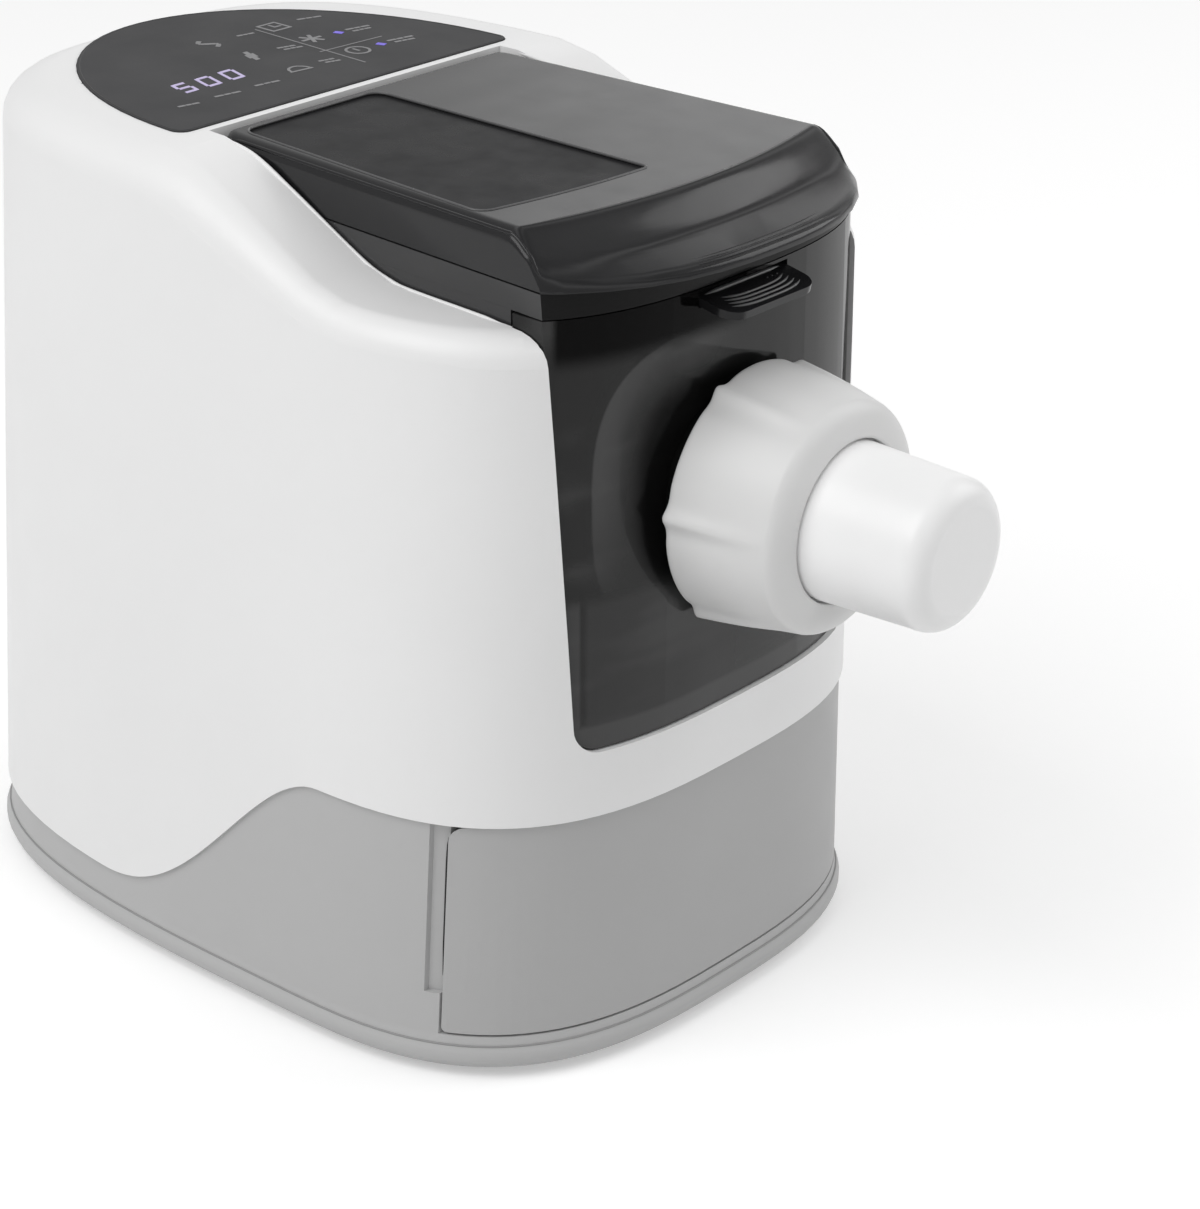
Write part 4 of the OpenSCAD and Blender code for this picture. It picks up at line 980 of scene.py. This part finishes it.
@dataclass
class Chamber(Part):
    """Mixing chamber, darker where its rim shows over the front panel."""

    front_turn: float = -0.4
    rim_from: float = 250.0
    # Ends, in depth and height, and thickness of the outer walls under the rim
    wall_y: Pair = (6.0, -64.5)
    wall_z: Pair = (264.3, 246.0)
    wall_gap: float = 0.9
    wall_t: float = 1.6

    def paint_rim(self, bm: Mesh) -> None:
        """Give the front of the rim its own finish.

        Args:
            bm: The chamber's mesh.
        """
        low = at(0, 0, self.rim_from).z
        for face in bm.faces:
            if face.normal.y < self.front_turn and face.calc_center_median().z > low:
                face.material_index = 1

    def wall(self, bm: Mesh, side: int) -> None:
        """Add the outer wall under the rim on one side.

        Args:
            bm: The mesh, in the body's millimetres.
            side: -1 for the left and 1 for the right.
        """
        for vert in bmesh.ops.create_cube(bm, size=1.0)["verts"]:
            y = self.wall_y[0] if vert.co.y > 0 else self.wall_y[1]
            z = self.wall_z[0] if vert.co.z > 0 else self.wall_z[1]
            inner = self.wall_t if vert.co.x * side < 0 else 0.0
            vert.co = Vector((side * (well_half(y, z) - self.wall_gap - inner), y, z))

    def build(self) -> None:
        """Dress the chamber."""
        more = (Look.RIM,)
        self.shop.smooth("mixing_chamber", Look.CHAMBER, bevel_mm=0.3, change=self.paint_rim, more=more)
        bm = bmesh.new()
        for side in (-1, 1):
            self.wall(bm, side)
        to_frame(bm)
        self.shop.modelled(bm, "chamber_walls", Look.CHAMBER, "housing")


@dataclass
class ShellEdge(Part):
    """Fine rolled edge of the shell along the S-shaped sides of the opening."""

    # Depth and height of the edge
    knots: tuple[Pair, ...] = (
        (71.0, 289.5), (52.6, 287.1), (34.9, 279.5), (0.0, 262.9),
        (-13.3, 259.4), (-21.4, 258.9), (-44.0, 258.9), (-64.0, 258.9),
    )
    radius: float = 0.75
    sunk: float = 0.2
    inside: float = 0.35
    steps: int = 14

    def slope(self, index: int) -> float:
        """Return the slope of the edge at a knot."""
        before, after = self.knots[max(0, index - 1)], self.knots[min(len(self.knots) - 1, index + 1)]
        return (after[1] - before[1]) / (after[0] - before[0])

    def line(self, side: int) -> Line:
        """Return the smooth line through the knots.

        Args:
            side: -1 for the left and 1 for the right.

        Returns:
            Its points.
        """
        path = [self.knots[0]]
        for index, ((y0, z0), (y1, z1)) in enumerate(pairwise(self.knots)):
            run = y1 - y0
            first, last = self.slope(index) * run, self.slope(index + 1) * run
            for t in spaced(0.0, 1.0, self.steps)[1:]:
                z = z0 + (z1 - z0) * ease(t) + first * t * (1 - t) ** 2 - last * (1 - t) * t**2
                path.append((y0 + run * t, z))
        return tuple(at(side * (well_half(y, z) + self.inside), y, z - self.sunk) for y, z in path)

    def build(self) -> None:
        """Lay the edge on both sides."""
        lines = [Bead(self.line(side), self.radius, taper=8) for side in (-1, 1)]
        self.shop.beads("shell_edge", lines, Look.SHELL, "housing")


@dataclass
class BaseLine(Part):
    """Fine line over the rolled lip of the base, and dark lines of painted shadow in the gaps beside the
    drawer's front.
    """

    height: float = 12.4
    radius: float = 0.38
    step: float = 1.5
    # Across, depth and height along each painted shadow line, from its top
    gap: tuple[Triple, ...] = (
        (101.6, -60.7, 84.6), (101.8, -60.6, 81.7), (102.1, -60.45, 76.1), (102.4, -60.45, 66.8),
        (102.8, -60.5, 55.6), (103.2, -60.5, 44.3), (103.6, -60.5, 32.9),
    )
    gap_radius: float = 0.42

    def build(self) -> None:
        """Lay the line where a level cut meets the tray, and the painted shadow lines in the gaps."""
        bm = self.shop.welded("base_tray")
        geometry = [*bm.verts, *bm.edges, *bm.faces]
        level = (0, 0, self.height * MM)
        cut = bmesh.ops.bisect_plane(bm, geom=geometry, plane_co=level, plane_no=(0, 0, 1))
        loops = chains(item for item in cut["geom_cut"] if isinstance(item, Edge))
        outer = max(loops, key=lambda loop: max(abs(vert.co.x) for vert in loop))
        line = tuple(even([vert.co.copy() for vert in outer], self.step * MM))
        bm.free()
        self.shop.beads("base_line", [Bead(line, self.radius, closed=True)], Look.BASE_LINE, "housing")
        # Dark beads on the recess floor by the drawer's edges: painted shadow of the gaps
        lines = [tuple(at(side * x, y, z) for x, y, z in self.gap) for side in (-1, 1)]
        gaps = [Bead(line, self.gap_radius) for line in lines]
        self.shop.beads("drawer_gap_shadow_lines", gaps, Look.OUTLINE, "housing")


@dataclass
class FrontPanel(Part):
    """Smoked front panel, with a lighter band along its border as a painted highlight on its thick rolled
    edge.
    """

    # Plan of the face: half of a rounded oblong that shrinks with height
    inset: float = 1.6
    lean: float = 0.029
    half_width: float = 117.75
    reach: float = 104.2
    power: float = 2.9
    face_slack: float = 0.5
    face_turn: float = -0.3
    border: Pair = (0.5, 3.0)
    border_step: float = 2.0
    border_over: float = 0.02
    border_t: float = 0.12

    def front(self, x: float, z: float) -> float:
        """Return the depth of the panel's face.

        Args:
            x: Place across the panel.
            z: Height.

        Returns:
            The depth.
        """
        off = self.inset + self.lean * z
        across = min(1.0, abs(x) / (self.half_width - off))
        return -(self.reach - off) * (1.0 - across**self.power) ** (1.0 / self.power)

    def keep_border(self, bm: Mesh) -> None:
        """Remember the line around the panel's face.

        Args:
            bm: The panel's mesh.
        """
        shown = []
        for face in bm.faces:
            spot = face.calc_center_median() / MM - BODY_ORIGIN_MM
            off = abs(spot.y - self.front(spot.x, spot.z))
            if off < self.face_slack and face.normal.y < self.face_turn:
                shown.append(face)
        self.line = [vert.co / MM - BODY_ORIGIN_MM for vert in border(shown)]

    def ring(self, inward: float) -> Line:
        """Return the border's line, moved inward on the face.

        Args:
            inward: Distance from the border.

        Returns:
            Its points, in the frame.
        """
        points = even(self.line, self.border_step)
        moved = []
        for point, side in zip(points, inward_sides(points, Vector((0, 1, 0)), 2), strict=True):
            slope = self.front(point.x + 0.5, point.z) - self.front(point.x - 0.5, point.z)
            share = inward / math.sqrt(1.0 + (slope * side.x) ** 2)
            x = point.x + side.x * share
            z = point.z + side.z * share
            moved.append(at(x, self.front(x, z) - self.border_over, z))
        return tuple(moved)

    def build(self) -> None:
        """Dress the panel."""
        self.shop.smooth("front_panel", Look.PANEL, bevel_mm=0.3, change=self.keep_border)
        # A thin sheet of lighter plastic just over the face along the border: a painted highlight on the
        # thick edge
        bm = bmesh.new()
        edges = [edge for inward in self.border for edge in wire(bm, self.ring(inward))]
        faces = bmesh.ops.bridge_loops(bm, edges=edges)["faces"]
        bmesh.ops.recalc_face_normals(bm, faces=faces)
        bmesh.ops.solidify(bm, geom=faces, thickness=self.border_t * MM)
        self.shop.modelled(bm, "panel_border_highlight", Look.PANEL_BORDER_HIGHLIGHT, "front_assembly")


@dataclass
class LockNut(Part):
    """Ring nut whose soft grip ribs melt into its flank."""

    back_y: float = -100.5
    axis_z: float = 190.0
    length: float = 41.5
    back_r: float = 44.0
    back_edge: float = 1.0
    front_r: float = 40.0
    # The flank is a little fuller than a straight cone
    bulge: float = 0.5
    mouth_r: float = 28.1
    bore_r: float = 34.3
    lip: float = 3.8
    round_len: float = 6.0
    mouth_edge: float = 1.2
    fine_edge: float = 0.3
    rib_count: int = 6
    rib_first_deg: float = 56.0
    rib_height: float = 2.15
    rib_width: float = 2.7
    rib_length: float = 37.0
    rib_fade: float = 0.8
    rib_trough: float = 0.35
    # In widths of the rib from its middle
    trough_at: float = 2.3
    flank_in: float = 2.0
    flank_steps: int = 22
    round_steps: int = 12
    sides: int = 360

    def profile(self) -> list[Pair]:
        """Work out the nut's section.

        Returns:
            Radius and distance from the back at each corner.
        """
        flank_end = self.length - self.round_len
        fine = self.fine_edge
        points = [(self.bore_r, 0.0), (self.back_r - self.back_edge, 0.0)]
        points += [(self.back_r - fine, fine), (self.back_r, self.back_edge)]
        for share in spaced(0.0, 1.0, self.flank_steps)[1:-1]:
            radius = self.back_r + (self.front_r - self.back_r) * share
            along = self.back_edge + (flank_end - self.back_edge) * share
            points.append((radius + self.bulge * math.sin(math.pi * share), along))
        shoulder = self.mouth_r + self.mouth_edge
        for turn in spaced(0.0, math.pi / 2, self.round_steps):
            radius = shoulder + (self.front_r - shoulder) * math.cos(turn)
            points.append((radius, flank_end + self.round_len * math.sin(turn)))
        points += [(self.mouth_r + fine, self.length), (self.mouth_r, self.length - fine)]
        points += [(self.mouth_r, self.length - self.lip), (self.bore_r, self.length - self.lip)]
        return points

    def lift(self, angle: float, along: float) -> float:
        """Return how far a point of the flank stands out.

        Args:
            angle: Its direction around the axis.
            along: Its distance from the back.

        Returns:
            The height of the rib there.
        """
        step = 2 * math.pi / self.rib_count
        turn = (angle - math.radians(self.rib_first_deg) + step / 2) % step - step / 2
        across = turn * self.back_r / self.rib_width
        troughs = sum(math.exp(-((across + spot) ** 2)) for spot in (self.trough_at, -self.trough_at))
        ridge = self.rib_height * math.exp(-(across**2)) - self.rib_trough * troughs
        return ridge * unit(1.0 - along / self.rib_length) ** self.rib_fade

    def build(self) -> None:
        """Turn the nut and raise its ribs."""
        bm = bmesh.new()
        section = wire(bm, ((radius, -along, 0.0) for radius, along in self.profile()))
        around = {"cent": (0, 0, 0), "axis": (0, 1, 0), "angle": 2 * math.pi, "steps": self.sides}
        bmesh.ops.spin(bm, geom=[*bm.verts, *section], use_merge=True, **around)
        for vert in bm.verts:
            radius = math.hypot(vert.co.x, vert.co.z)
            if radius >= self.front_r - self.flank_in:
                grown = 1.0 + self.lift(math.atan2(vert.co.z, vert.co.x), -vert.co.y) / radius
                vert.co.x *= grown
                vert.co.z *= grown
        bmesh.ops.translate(bm, vec=(0, self.back_y, self.axis_z), verts=bm.verts)
        to_frame(bm)
        piece = self.shop.modelled(bm, "lock_nut_dressed", Look.NUT, "nut", crease_deg=50.0)
        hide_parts("lock_nut")


@dataclass
class ReleaseTab(Part):
    """Finger tab with curved grip ribs and three dots."""

    pin_y: float = -90.5165
    pin_z: float = 258.7
    slope_deg: float = 11.0
    thickness: float = 2.8
    width: float = 46.0
    tip: float = -18.0
    ribs_in: tuple[float, ...] = (2.4, 4.4, 6.4, 8.4)
    rib_r: float = 0.55
    rib_sunk: float = 0.1
    rib_margin: float = 4.0
    rib_shrink: float = 0.3
    rib_bend: float = 2.6
    rib_power: float = 3.5
    dots: tuple[Pair, ...] = ((9.0, -6.2), (11.6, -6.2), (14.2, -6.2))
    dot_r: float = 0.55
    dot_sunk: float = 0.2
    ridge_r: float = 1.0
    ridge_sunk: float = 0.25
    ridge_y: float = -3.0
    ridge_margin: float = 2.5

    def in_plate(self, x: float, y: float, sunk: float) -> Vector:
        """Return a point under the plate's upper face.

        Args:
            x: Place across the plate.
            y: Place along it, from the pin.
            sunk: Depth under the face.

        Returns:
            The point in the frame.
        """
        tilt = Matrix.Rotation(math.radians(self.slope_deg), 3, "X")
        spot = tilt @ Vector((x, y, self.thickness - sunk))
        return at(spot.x, self.pin_y + spot.y, self.pin_z + spot.z)

    def rib(self, inward: float, steps: int = 28) -> Line:
        """Return a rib that bends back at both ends.

        Args:
            inward: Distance from the tip.
            steps: Number of steps.

        Returns:
            Its points.
        """
        half = self.width / 2 - self.rib_margin - self.rib_shrink * inward
        points = []
        for share in spaced(-1.0, 1.0, steps):
            y = self.tip + inward + self.rib_bend * abs(share) ** self.rib_power
            points.append(self.in_plate(share * half, y, self.rib_sunk))
        return tuple(points)

    def build(self) -> None:
        """Dress the tab."""
        self.shop.smooth("release_tab", Look.TAB, bevel_mm=0.8)
        lines = [Bead(self.rib(inward), self.rib_r, taper=3) for inward in self.ribs_in]
        half = self.width / 2 - self.ridge_margin
        ridge = tuple(self.in_plate(x, self.ridge_y, self.ridge_sunk) for x in spaced(-half, half, 12))
        lines.append(Bead(ridge, self.ridge_r, taper=2))
        # The ribs and the ridge are real beads, in lighter plastic as a painted highlight
        self.shop.beads("tab_ribs", lines, Look.PAINTED_HIGHLIGHT, "tab")
        bm = bmesh.new()
        for x, y in self.dots:
            spot = Matrix.Translation(self.in_plate(x, y, self.dot_sunk))
            bmesh.ops.create_uvsphere(bm, u_segments=16, v_segments=8, radius=self.dot_r * MM, matrix=spot)
        self.shop.modelled(bm, "tab_dots", Look.TAB, "tab")


# Middle of each segment of a digit, in halves of its width and height
SEGMENTS = {
    "a": (0, 1),
    "b": (1, 0.5),
    "c": (1, -0.5),
    "d": (0, -1),
    "e": (-1, -0.5),
    "f": (-1, 0.5),
    "g": (0, 0),
}


@dataclass
class ControlPanel(Part):
    """Overlay with its outline, printed signs, lit digits and lamps, in millimetres on the body."""

    top_z: float = 290.6
    thickness: float = 0.12
    digit_size: Pair = (5.4, 8.8)
    digits: tuple[tuple[float, float, str], ...] = (
        (-45.7, 114.9, "acdfg"),
        (-34.5, 114.8, "abcdef"),
        (-23.0, 115.1, "abcdef"),
    )
    digit_stroke: float = 1.6
    upright_share: float = 0.82
    # How much shorter level segments are and how much longer upright ones, in strokes
    level_trim: float = 0.3
    upright_grown: float = 0.1
    digit_slant: float = 0.3
    row_fall: float = -0.2
    # Marks that cross lie a hair apart in height
    layer: float = 0.012
    layers: int = 4
    labels: tuple[Ends, ...] = (
        (-63.2, 100.1, -54.6, 98.7), (-46.2, 99.8, -35.2, 98.4), (-27.0, 99.6, -16.4, 98.2),
        (13.1, 148.6, 20.5, 147.3), (44.5, 148.9, 54.4, 146.3), (12.0, 127.2, 19.5, 125.6),
        (12.6, 124.4, 20.3, 122.7), (10.6, 105.3, 17.0, 104.0), (11.2, 102.6, 17.4, 101.2),
        (47.2, 127.0, 57.8, 125.3), (47.9, 124.0, 56.0, 122.7), (47.4, 106.4, 58.8, 104.5),
        (48.2, 103.4, 57.0, 101.9),
    )
    label_height: float = 1.35
    label_words: tuple[Pair, ...] = ((0.0, 0.34), (0.38, 0.62), (0.66, 1.0))
    rules: tuple[Ends, ...] = ((24.0, 150.2, 21.6, 92.9), (19.6, 113.4, 50.4, 112.0))
    rule_width: float = 0.6
    lamps: tuple[Pair, ...] = ((42.9, 126.4), (42.8, 105.2))
    lamp_size: Pair = (2.6, 3.4)
    lamp_turn: float = 20.0
    # Signs: width of their strokes, then where each has its middle and its sizes
    sign_stroke: float = 1.05
    power_at: Pair = (31.0, 105.5)
    power_r: float = 4.3
    power_bars: int = 28
    power_overlap: float = 1.15
    # How far the stem lies from the middle, and its length
    power_stem: Pair = (0.9, 3.6)
    fan_at: Pair = (30.0, 127.5)
    blade: Pair = (9.6, 1.5)
    timer_at: Pair = (31.5, 148.0)
    timer_half: Pair = (4.3, 4.2)
    timer_side: float = 9.4
    # Each hand's middle from that of the timer, its length and its turn
    timer_hands: tuple[tuple[float, float, float, float], ...] = (
        (0.0, 1.0, 3.8, 90.0),
        (1.4, -0.4, 3.4, 0.0),
    )
    bowl_at: Pair = (-1.4, 102.4)
    bowl_radii: Pair = (4.2, 4.4)
    bowl_bars: int = 9
    bowl_bar: float = 1.9
    bowl_rim: Ends = (-5.2, 0.0, 5.0, -1.0)
    leaf_at: Pair = (-1.4, 126.8)
    leaf_sizes: tuple[Pair, ...] = ((2.2, 10.2), (4.2, 4.4))
    leaf_slant: float = 0.33
    wave_at: Pair = (-1.6, 153.0)
    wave_size: Pair = (2.5, 9.4)
    wave_stroke: float = 1.8
    wave_steps: int = 12
    outline_in: float = 0.9
    outline_r: float = 0.5
    outline_step: float = 1.5
    face_slack: float = 0.01

    def __post_init__(self) -> None:
        """Start with no mesh to draw marks into."""
        self.bm: Mesh | None = None

    def bar(self, centre: Pair, size: Pair, turn_deg: float = 0.0, slant: float = 0.0) -> None:
        """Add one flat bar.

        Args:
            centre: Middle of the bar on the panel.
            size: Length and width.
            turn_deg: Turn about the middle.
            slant: Sideways lean for each millimetre of depth.
        """
        made = bmesh.ops.create_cube(self.bm, size=1.0)["verts"]
        bmesh.ops.scale(self.bm, vec=(*size, self.thickness), verts=made)
        bmesh.ops.rotate(self.bm, matrix=Matrix.Rotation(math.radians(turn_deg), 3, "Z"), verts=made)
        for vert in made:
            vert.co.x += slant * vert.co.y
        sunk = self.layer * (len(self.bm.verts) // len(made) % self.layers)
        bmesh.ops.translate(self.bm, vec=(*centre, self.top_z - self.thickness / 2 - sunk), verts=made)

    def stroke(self, ends: Ends, width: float) -> None:
        """Add a bar between two points.

        Args:
            ends: The two points, one after the other.
            width: Width of the bar.
        """
        x0, y0, x1, y1 = ends
        turn = math.degrees(math.atan2(y1 - y0, x1 - x0))
        self.bar(((x0 + x1) / 2, (y0 + y1) / 2), (math.hypot(x1 - x0, y1 - y0), width), turn)

    def label(self, ends: Ends) -> None:
        """Add a row of short strokes that stands for a generic label.

        Args:
            ends: Start and end of the row.
        """
        first, last = Vector(ends[:2]), Vector(ends[2:])
        for start, end in self.label_words:
            self.stroke((*first.lerp(last, start), *first.lerp(last, end)), self.label_height)

    def digit(self, centre: Pair, segments: str) -> None:
        """Add one seven-segment digit.

        Args:
            centre: Middle of the digit.
            segments: Letters a to g of the lit segments.
        """
        half_w, half_h = self.digit_size[0] / 2, self.digit_size[1] / 2
        for letter in segments:
            x, y = SEGMENTS[letter][0] * half_w, SEGMENTS[letter][1] * half_h
            size = (self.digit_size[0] - self.level_trim * self.digit_stroke, self.digit_stroke)
            if x:
                long = half_h + self.upright_grown * self.digit_stroke
                size = (long, self.digit_stroke * self.upright_share)
            middle = (centre[0] + x + self.digit_slant * y, centre[1] + y + self.row_fall * x)
            self.bar(middle, size, 90.0 if x else 0.0, self.digit_slant)

    def arc(self, centre: Pair, radii: Pair, length: float, angles: Iterable[float]) -> None:
        """Add short bars along a ring or a part of one.

        Args:
            centre: Middle of the ring.
            radii: Half of its width and of its depth.
            length: Length of each bar.
            angles: Directions from the middle in which the bars lie.
        """
        for angle in angles:
            middle = (centre[0] + radii[0] * math.cos(angle), centre[1] + radii[1] * math.sin(angle))
            self.bar(middle, (length, self.sign_stroke), math.degrees(angle) + 90)

    def power_sign(self) -> None:
        """Add a ring with a stem."""
        (x, y), (off, long) = self.power_at, self.power_stem
        angles = spaced(0.0, 2 * math.pi, self.power_bars)[:-1]
        length = self.power_overlap * self.power_r * angles[1]
        self.arc(self.power_at, (self.power_r, self.power_r), length, angles)
        self.bar((x, y + off), (long, self.sign_stroke), 90)

    def fan_sign(self) -> None:
        """Add three crossed blades."""
        for turn in (0, 60, 120):
            self.bar(self.fan_at, self.blade, turn)

    def timer_sign(self) -> None:
        """Add a square frame with two hands."""
        (x, y), (wide, deep) = self.timer_at, self.timer_half
        for across, up, turn in ((-wide, 0, 90), (wide, 0, 90), (0, deep, 0), (0, -deep, 0)):
            self.bar((x + across, y + up), (self.timer_side, self.sign_stroke), turn)
        for across, up, long, turn in self.timer_hands:
            self.bar((x + across, y + up), (long, self.sign_stroke), turn)

    def bowl_sign(self) -> None:
        """Add a bowl of dough."""
        (x, y), (x0, y0, x1, y1) = self.bowl_at, self.bowl_rim
        self.stroke((x + x0, y + y0, x + x1, y + y1), self.sign_stroke)
        half = math.pi / self.bowl_bars / 2
        angles = spaced(half, math.pi - half, self.bowl_bars - 1)
        self.arc(self.bowl_at, self.bowl_radii, self.bowl_bar, angles)

    def leaf_sign(self) -> None:
        """Add a solid leaf."""
        for size in self.leaf_sizes:
            self.bar(self.leaf_at, size, 0, self.leaf_slant)

    def wave_sign(self) -> None:
        """Add a strand that bends twice."""
        (x, y), (wide, long) = self.wave_at, self.wave_size
        shares = spaced(0.0, 1.0, self.wave_steps)
        spots = [(x - wide * math.sin(2 * math.pi * share), y - long * share) for share in shares]
        for start, end in pairwise(spots):
            self.stroke((*start, *end), self.wave_stroke)

    def sink_face(self, bm: Mesh) -> None:
        """Lower the overlay's face by the thickness of the marks, and remember its outline.

        Args:
            bm: The overlay's mesh.
        """
        top = at(0, 0, self.top_z).z
        raised = [vert for vert in bm.verts if abs(vert.co.z - top) < self.face_slack * MM]
        bmesh.ops.translate(bm, vec=(0, 0, -self.thickness * MM), verts=raised)
        level = [face for face in bm.faces if face.normal.z > LEVEL]
        faces = [face for face in level if all(vert in raised for vert in face.verts)]
        self.line = [vert.co.copy() for vert in border(faces)]

    def outline(self) -> Line:
        """Return the line just inside the overlay's edge.

        Returns:
            Its points.
        """
        points = even(self.line, self.outline_step * MM)
        rise = Vector((0, 0, (self.thickness - self.outline_r) * MM))
        sides = inward_sides(points, Vector((0, 0, 1)), 1)
        moves = [side * self.outline_in * MM + rise for side in sides]
        return tuple(point + move for point, move in zip(points, moves, strict=True))

    def printed(self) -> None:
        """Add the labels, the rules and the signs."""
        for ends in self.labels:
            self.label(ends)
        for ends in self.rules:
            self.stroke(ends, self.rule_width)
        self.power_sign()
        self.fan_sign()
        self.timer_sign()
        self.bowl_sign()
        self.leaf_sign()
        self.wave_sign()

    def lit(self) -> None:
        """Add the digits of the display."""
        for x, y, segments in self.digits:
            self.digit((x, y), segments)

    def glowing(self) -> None:
        """Add the lamps."""
        for centre in self.lamps:
            self.bar(centre, self.lamp_size, self.lamp_turn)

    def build(self) -> None:
        """Dress the overlay and make its marks."""
        self.shop.smooth("control_panel", Look.OVERLAY, bevel_mm=0.15, change=self.sink_face)
        outline = Bead(self.outline(), self.outline_r, closed=True)
        self.shop.beads("panel_outline", [outline], Look.OUTLINE, "housing")
        marks = (
            ("panel_signs", self.printed, Look.PRINT),
            ("display_digits", self.lit, Look.DIGITS),
            ("panel_lamps", self.glowing, Look.LAMP),
        )
        for name, draw, look in marks:
            self.bm = bmesh.new()
            draw()
            to_frame(self.bm)
            self.shop.modelled(self.bm, name, look, "housing")


# ---- Studio ----


@dataclass
class Studio:
    """Pale floor, soft lamps and the camera."""

    camera_at: Triple = (-0.868162, -0.750297, 0.644694)
    look: Triple = (0.7062852, 0.57205764, -0.41702671)
    roll_deg: float = 1.8231
    lens_mm: float = 105.287
    floor_size: float = 12.0
    floor_colour: Colour = (0.80, 0.80, 0.80)
    floor_lift: float = 0.35
    ambient: float = 0.51
    # Soft strips of the room that only glossy faces mirror: how near to this side, and how bright
    strip_side: Triple = (0.706, -0.45, 0.55)
    strips: tuple[Pair, ...] = (
        (0.0, 0.45), (0.34, 0.50), (0.43, 0.93), (0.57, 0.98), (0.64, 0.46),
        (0.72, 0.28), (0.80, 0.70), (0.87, 0.34), (0.97, 0.55),
    )
    mirror: float = 1.25
    # Name, place, size and power in watts of the soft square lamps, and the point that they face
    lamps: tuple[tuple[str, Triple, float, float], ...] = (
        ("key", (-1.35, 0.25, 1.8), 1.5, 21.0),
        ("fill", (1.7, -1.0, 1.2), 1.4, 11.5),
    )
    aim: Triple = (0.0, 0.0, 0.15)

    def rays(self, tree: Nodes, *kinds: str) -> Socket:
        """Add a factor that is 1 for some kinds of rays.

        Args:
            tree: The tree to add to.
            kinds: The kinds of rays that count.

        Returns:
            The factor.
        """
        path = tree.add("LightPath")
        return tree.join("MAXIMUM", *(path.outputs[f"Is {kind} Ray"] for kind in kinds))

    def world(self) -> None:
        """Light the scene evenly, show white behind it, and give glossy faces a room of soft strips."""
        world = bpy.data.worlds.new("studio")
        world.use_nodes = True
        tree = Nodes(world.node_tree)
        white = (1.0, 1.0, 1.0, 1.0)
        plain = tree.add("Background", {"Color": white, "Strength": self.ambient})
        shown = tree.add("Background", {"Color": white, "Strength": 1.0})
        ends = {0: tree.add("TexCoord").outputs["Generated"], 1: Vector(self.strip_side).normalized()}
        toward = tree.add("VectorMath", ends, operation="DOT_PRODUCT")
        ramp = tree.add("ValToRGB", {"Fac": toward.outputs["Value"]})
        ramp.color_ramp.interpolation = "EASE"
        stops = ramp.color_ramp.elements
        while len(stops) < len(self.strips):
            stops.new(0.5)
        for stop, (place, level) in zip(stops, self.strips, strict=True):
            stop.position = place
            stop.color = (level, level, level, 1.0)
        mirrored = tree.add("Background", {"Color": ramp.outputs["Color"], "Strength": self.mirror})
        lit = tree.mix(self.rays(tree, "Glossy"), plain, mirrored)
        tree.show(tree.mix(self.rays(tree, "Camera", "Transmission"), lit, shown))
        bpy.context.scene.world = world

    def floor(self) -> None:
        """Lay the pale floor, which keeps a soft shadow."""
        bm = bmesh.new()
        bmesh.ops.create_grid(bm, x_segments=1, y_segments=1, size=self.floor_size / 2)
        mesh = bpy.data.meshes.new("floor")
        bm.to_mesh(mesh)
        bm.free()
        floor = bpy.data.objects.new("floor", mesh)
        bpy.context.scene.collection.objects.link(floor)
        graph = Graph("floor")
        graph.set(Base_Color=self.floor_colour, Roughness=0.9, Specular_IOR_Level=0.0)
        lift = graph.add("Emission", {"Strength": self.floor_lift})
        dark = graph.add("Emission", {"Strength": 0.0})
        seen = graph.mix(self.rays(graph, "Camera", "Glossy", "Transmission"), dark, lift)
        graph.show(graph.add("AddShader", {0: graph.surface.outputs[0], 1: seen.outputs[0]}))
        mesh.materials.append(graph.material)

    def lamp(self, name: str, spot: Triple, size: float, power: float) -> None:
        """Hang one soft square lamp.

        Args:
            name: Name of the lamp.
            spot: Its place.
            size: Length of its side.
            power: Power in watts.
        """
        data = bpy.data.lights.new(name, "AREA")
        data.energy = power
        data.size = size
        lamp = bpy.data.objects.new(name, data)
        lamp.location = spot
        lamp.rotation_euler = (Vector(self.aim) - Vector(spot)).to_track_quat("-Z", "Y").to_euler()
        bpy.context.scene.collection.objects.link(lamp)

    def camera(self) -> None:
        """Set up the camera."""
        data = bpy.data.cameras.new("camera")
        data.lens = self.lens_mm
        data.sensor_width = 36.0
        data.clip_start = 0.01
        camera = bpy.data.objects.new("camera", data)
        forward = Vector(self.look).normalized()
        right = forward.cross(Vector((0, 0, 1))).normalized()
        up = right.cross(forward)
        roll = math.radians(self.roll_deg)
        tilted = right * math.cos(roll) + up * math.sin(roll)
        over = up * math.cos(roll) - right * math.sin(roll)
        turn = Matrix((tilted, over, -forward)).transposed()
        camera.matrix_world = Matrix.Translation(self.camera_at) @ turn.to_4x4()
        bpy.context.scene.collection.objects.link(camera)
        bpy.context.scene.camera = camera

    def build(self) -> None:
        """Set the whole studio up."""
        self.world()
        self.floor()
        self.camera()
        for lamp in self.lamps:
            self.lamp(*lamp)
        bpy.context.scene.view_settings.view_transform = "Standard"


def main() -> None:
    """Dress the whole machine."""
    logging.basicConfig(level=logging.INFO, format="%(message)s")
    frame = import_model()
    Studio().build()
    shop = Workshop(frame)
    for part in (Plain, ShellEdge, BaseLine, ControlPanel, Lid, Chamber, FrontPanel, ReleaseTab, LockNut):
        part(shop).build()


if __name__ == "__main__":
    main()
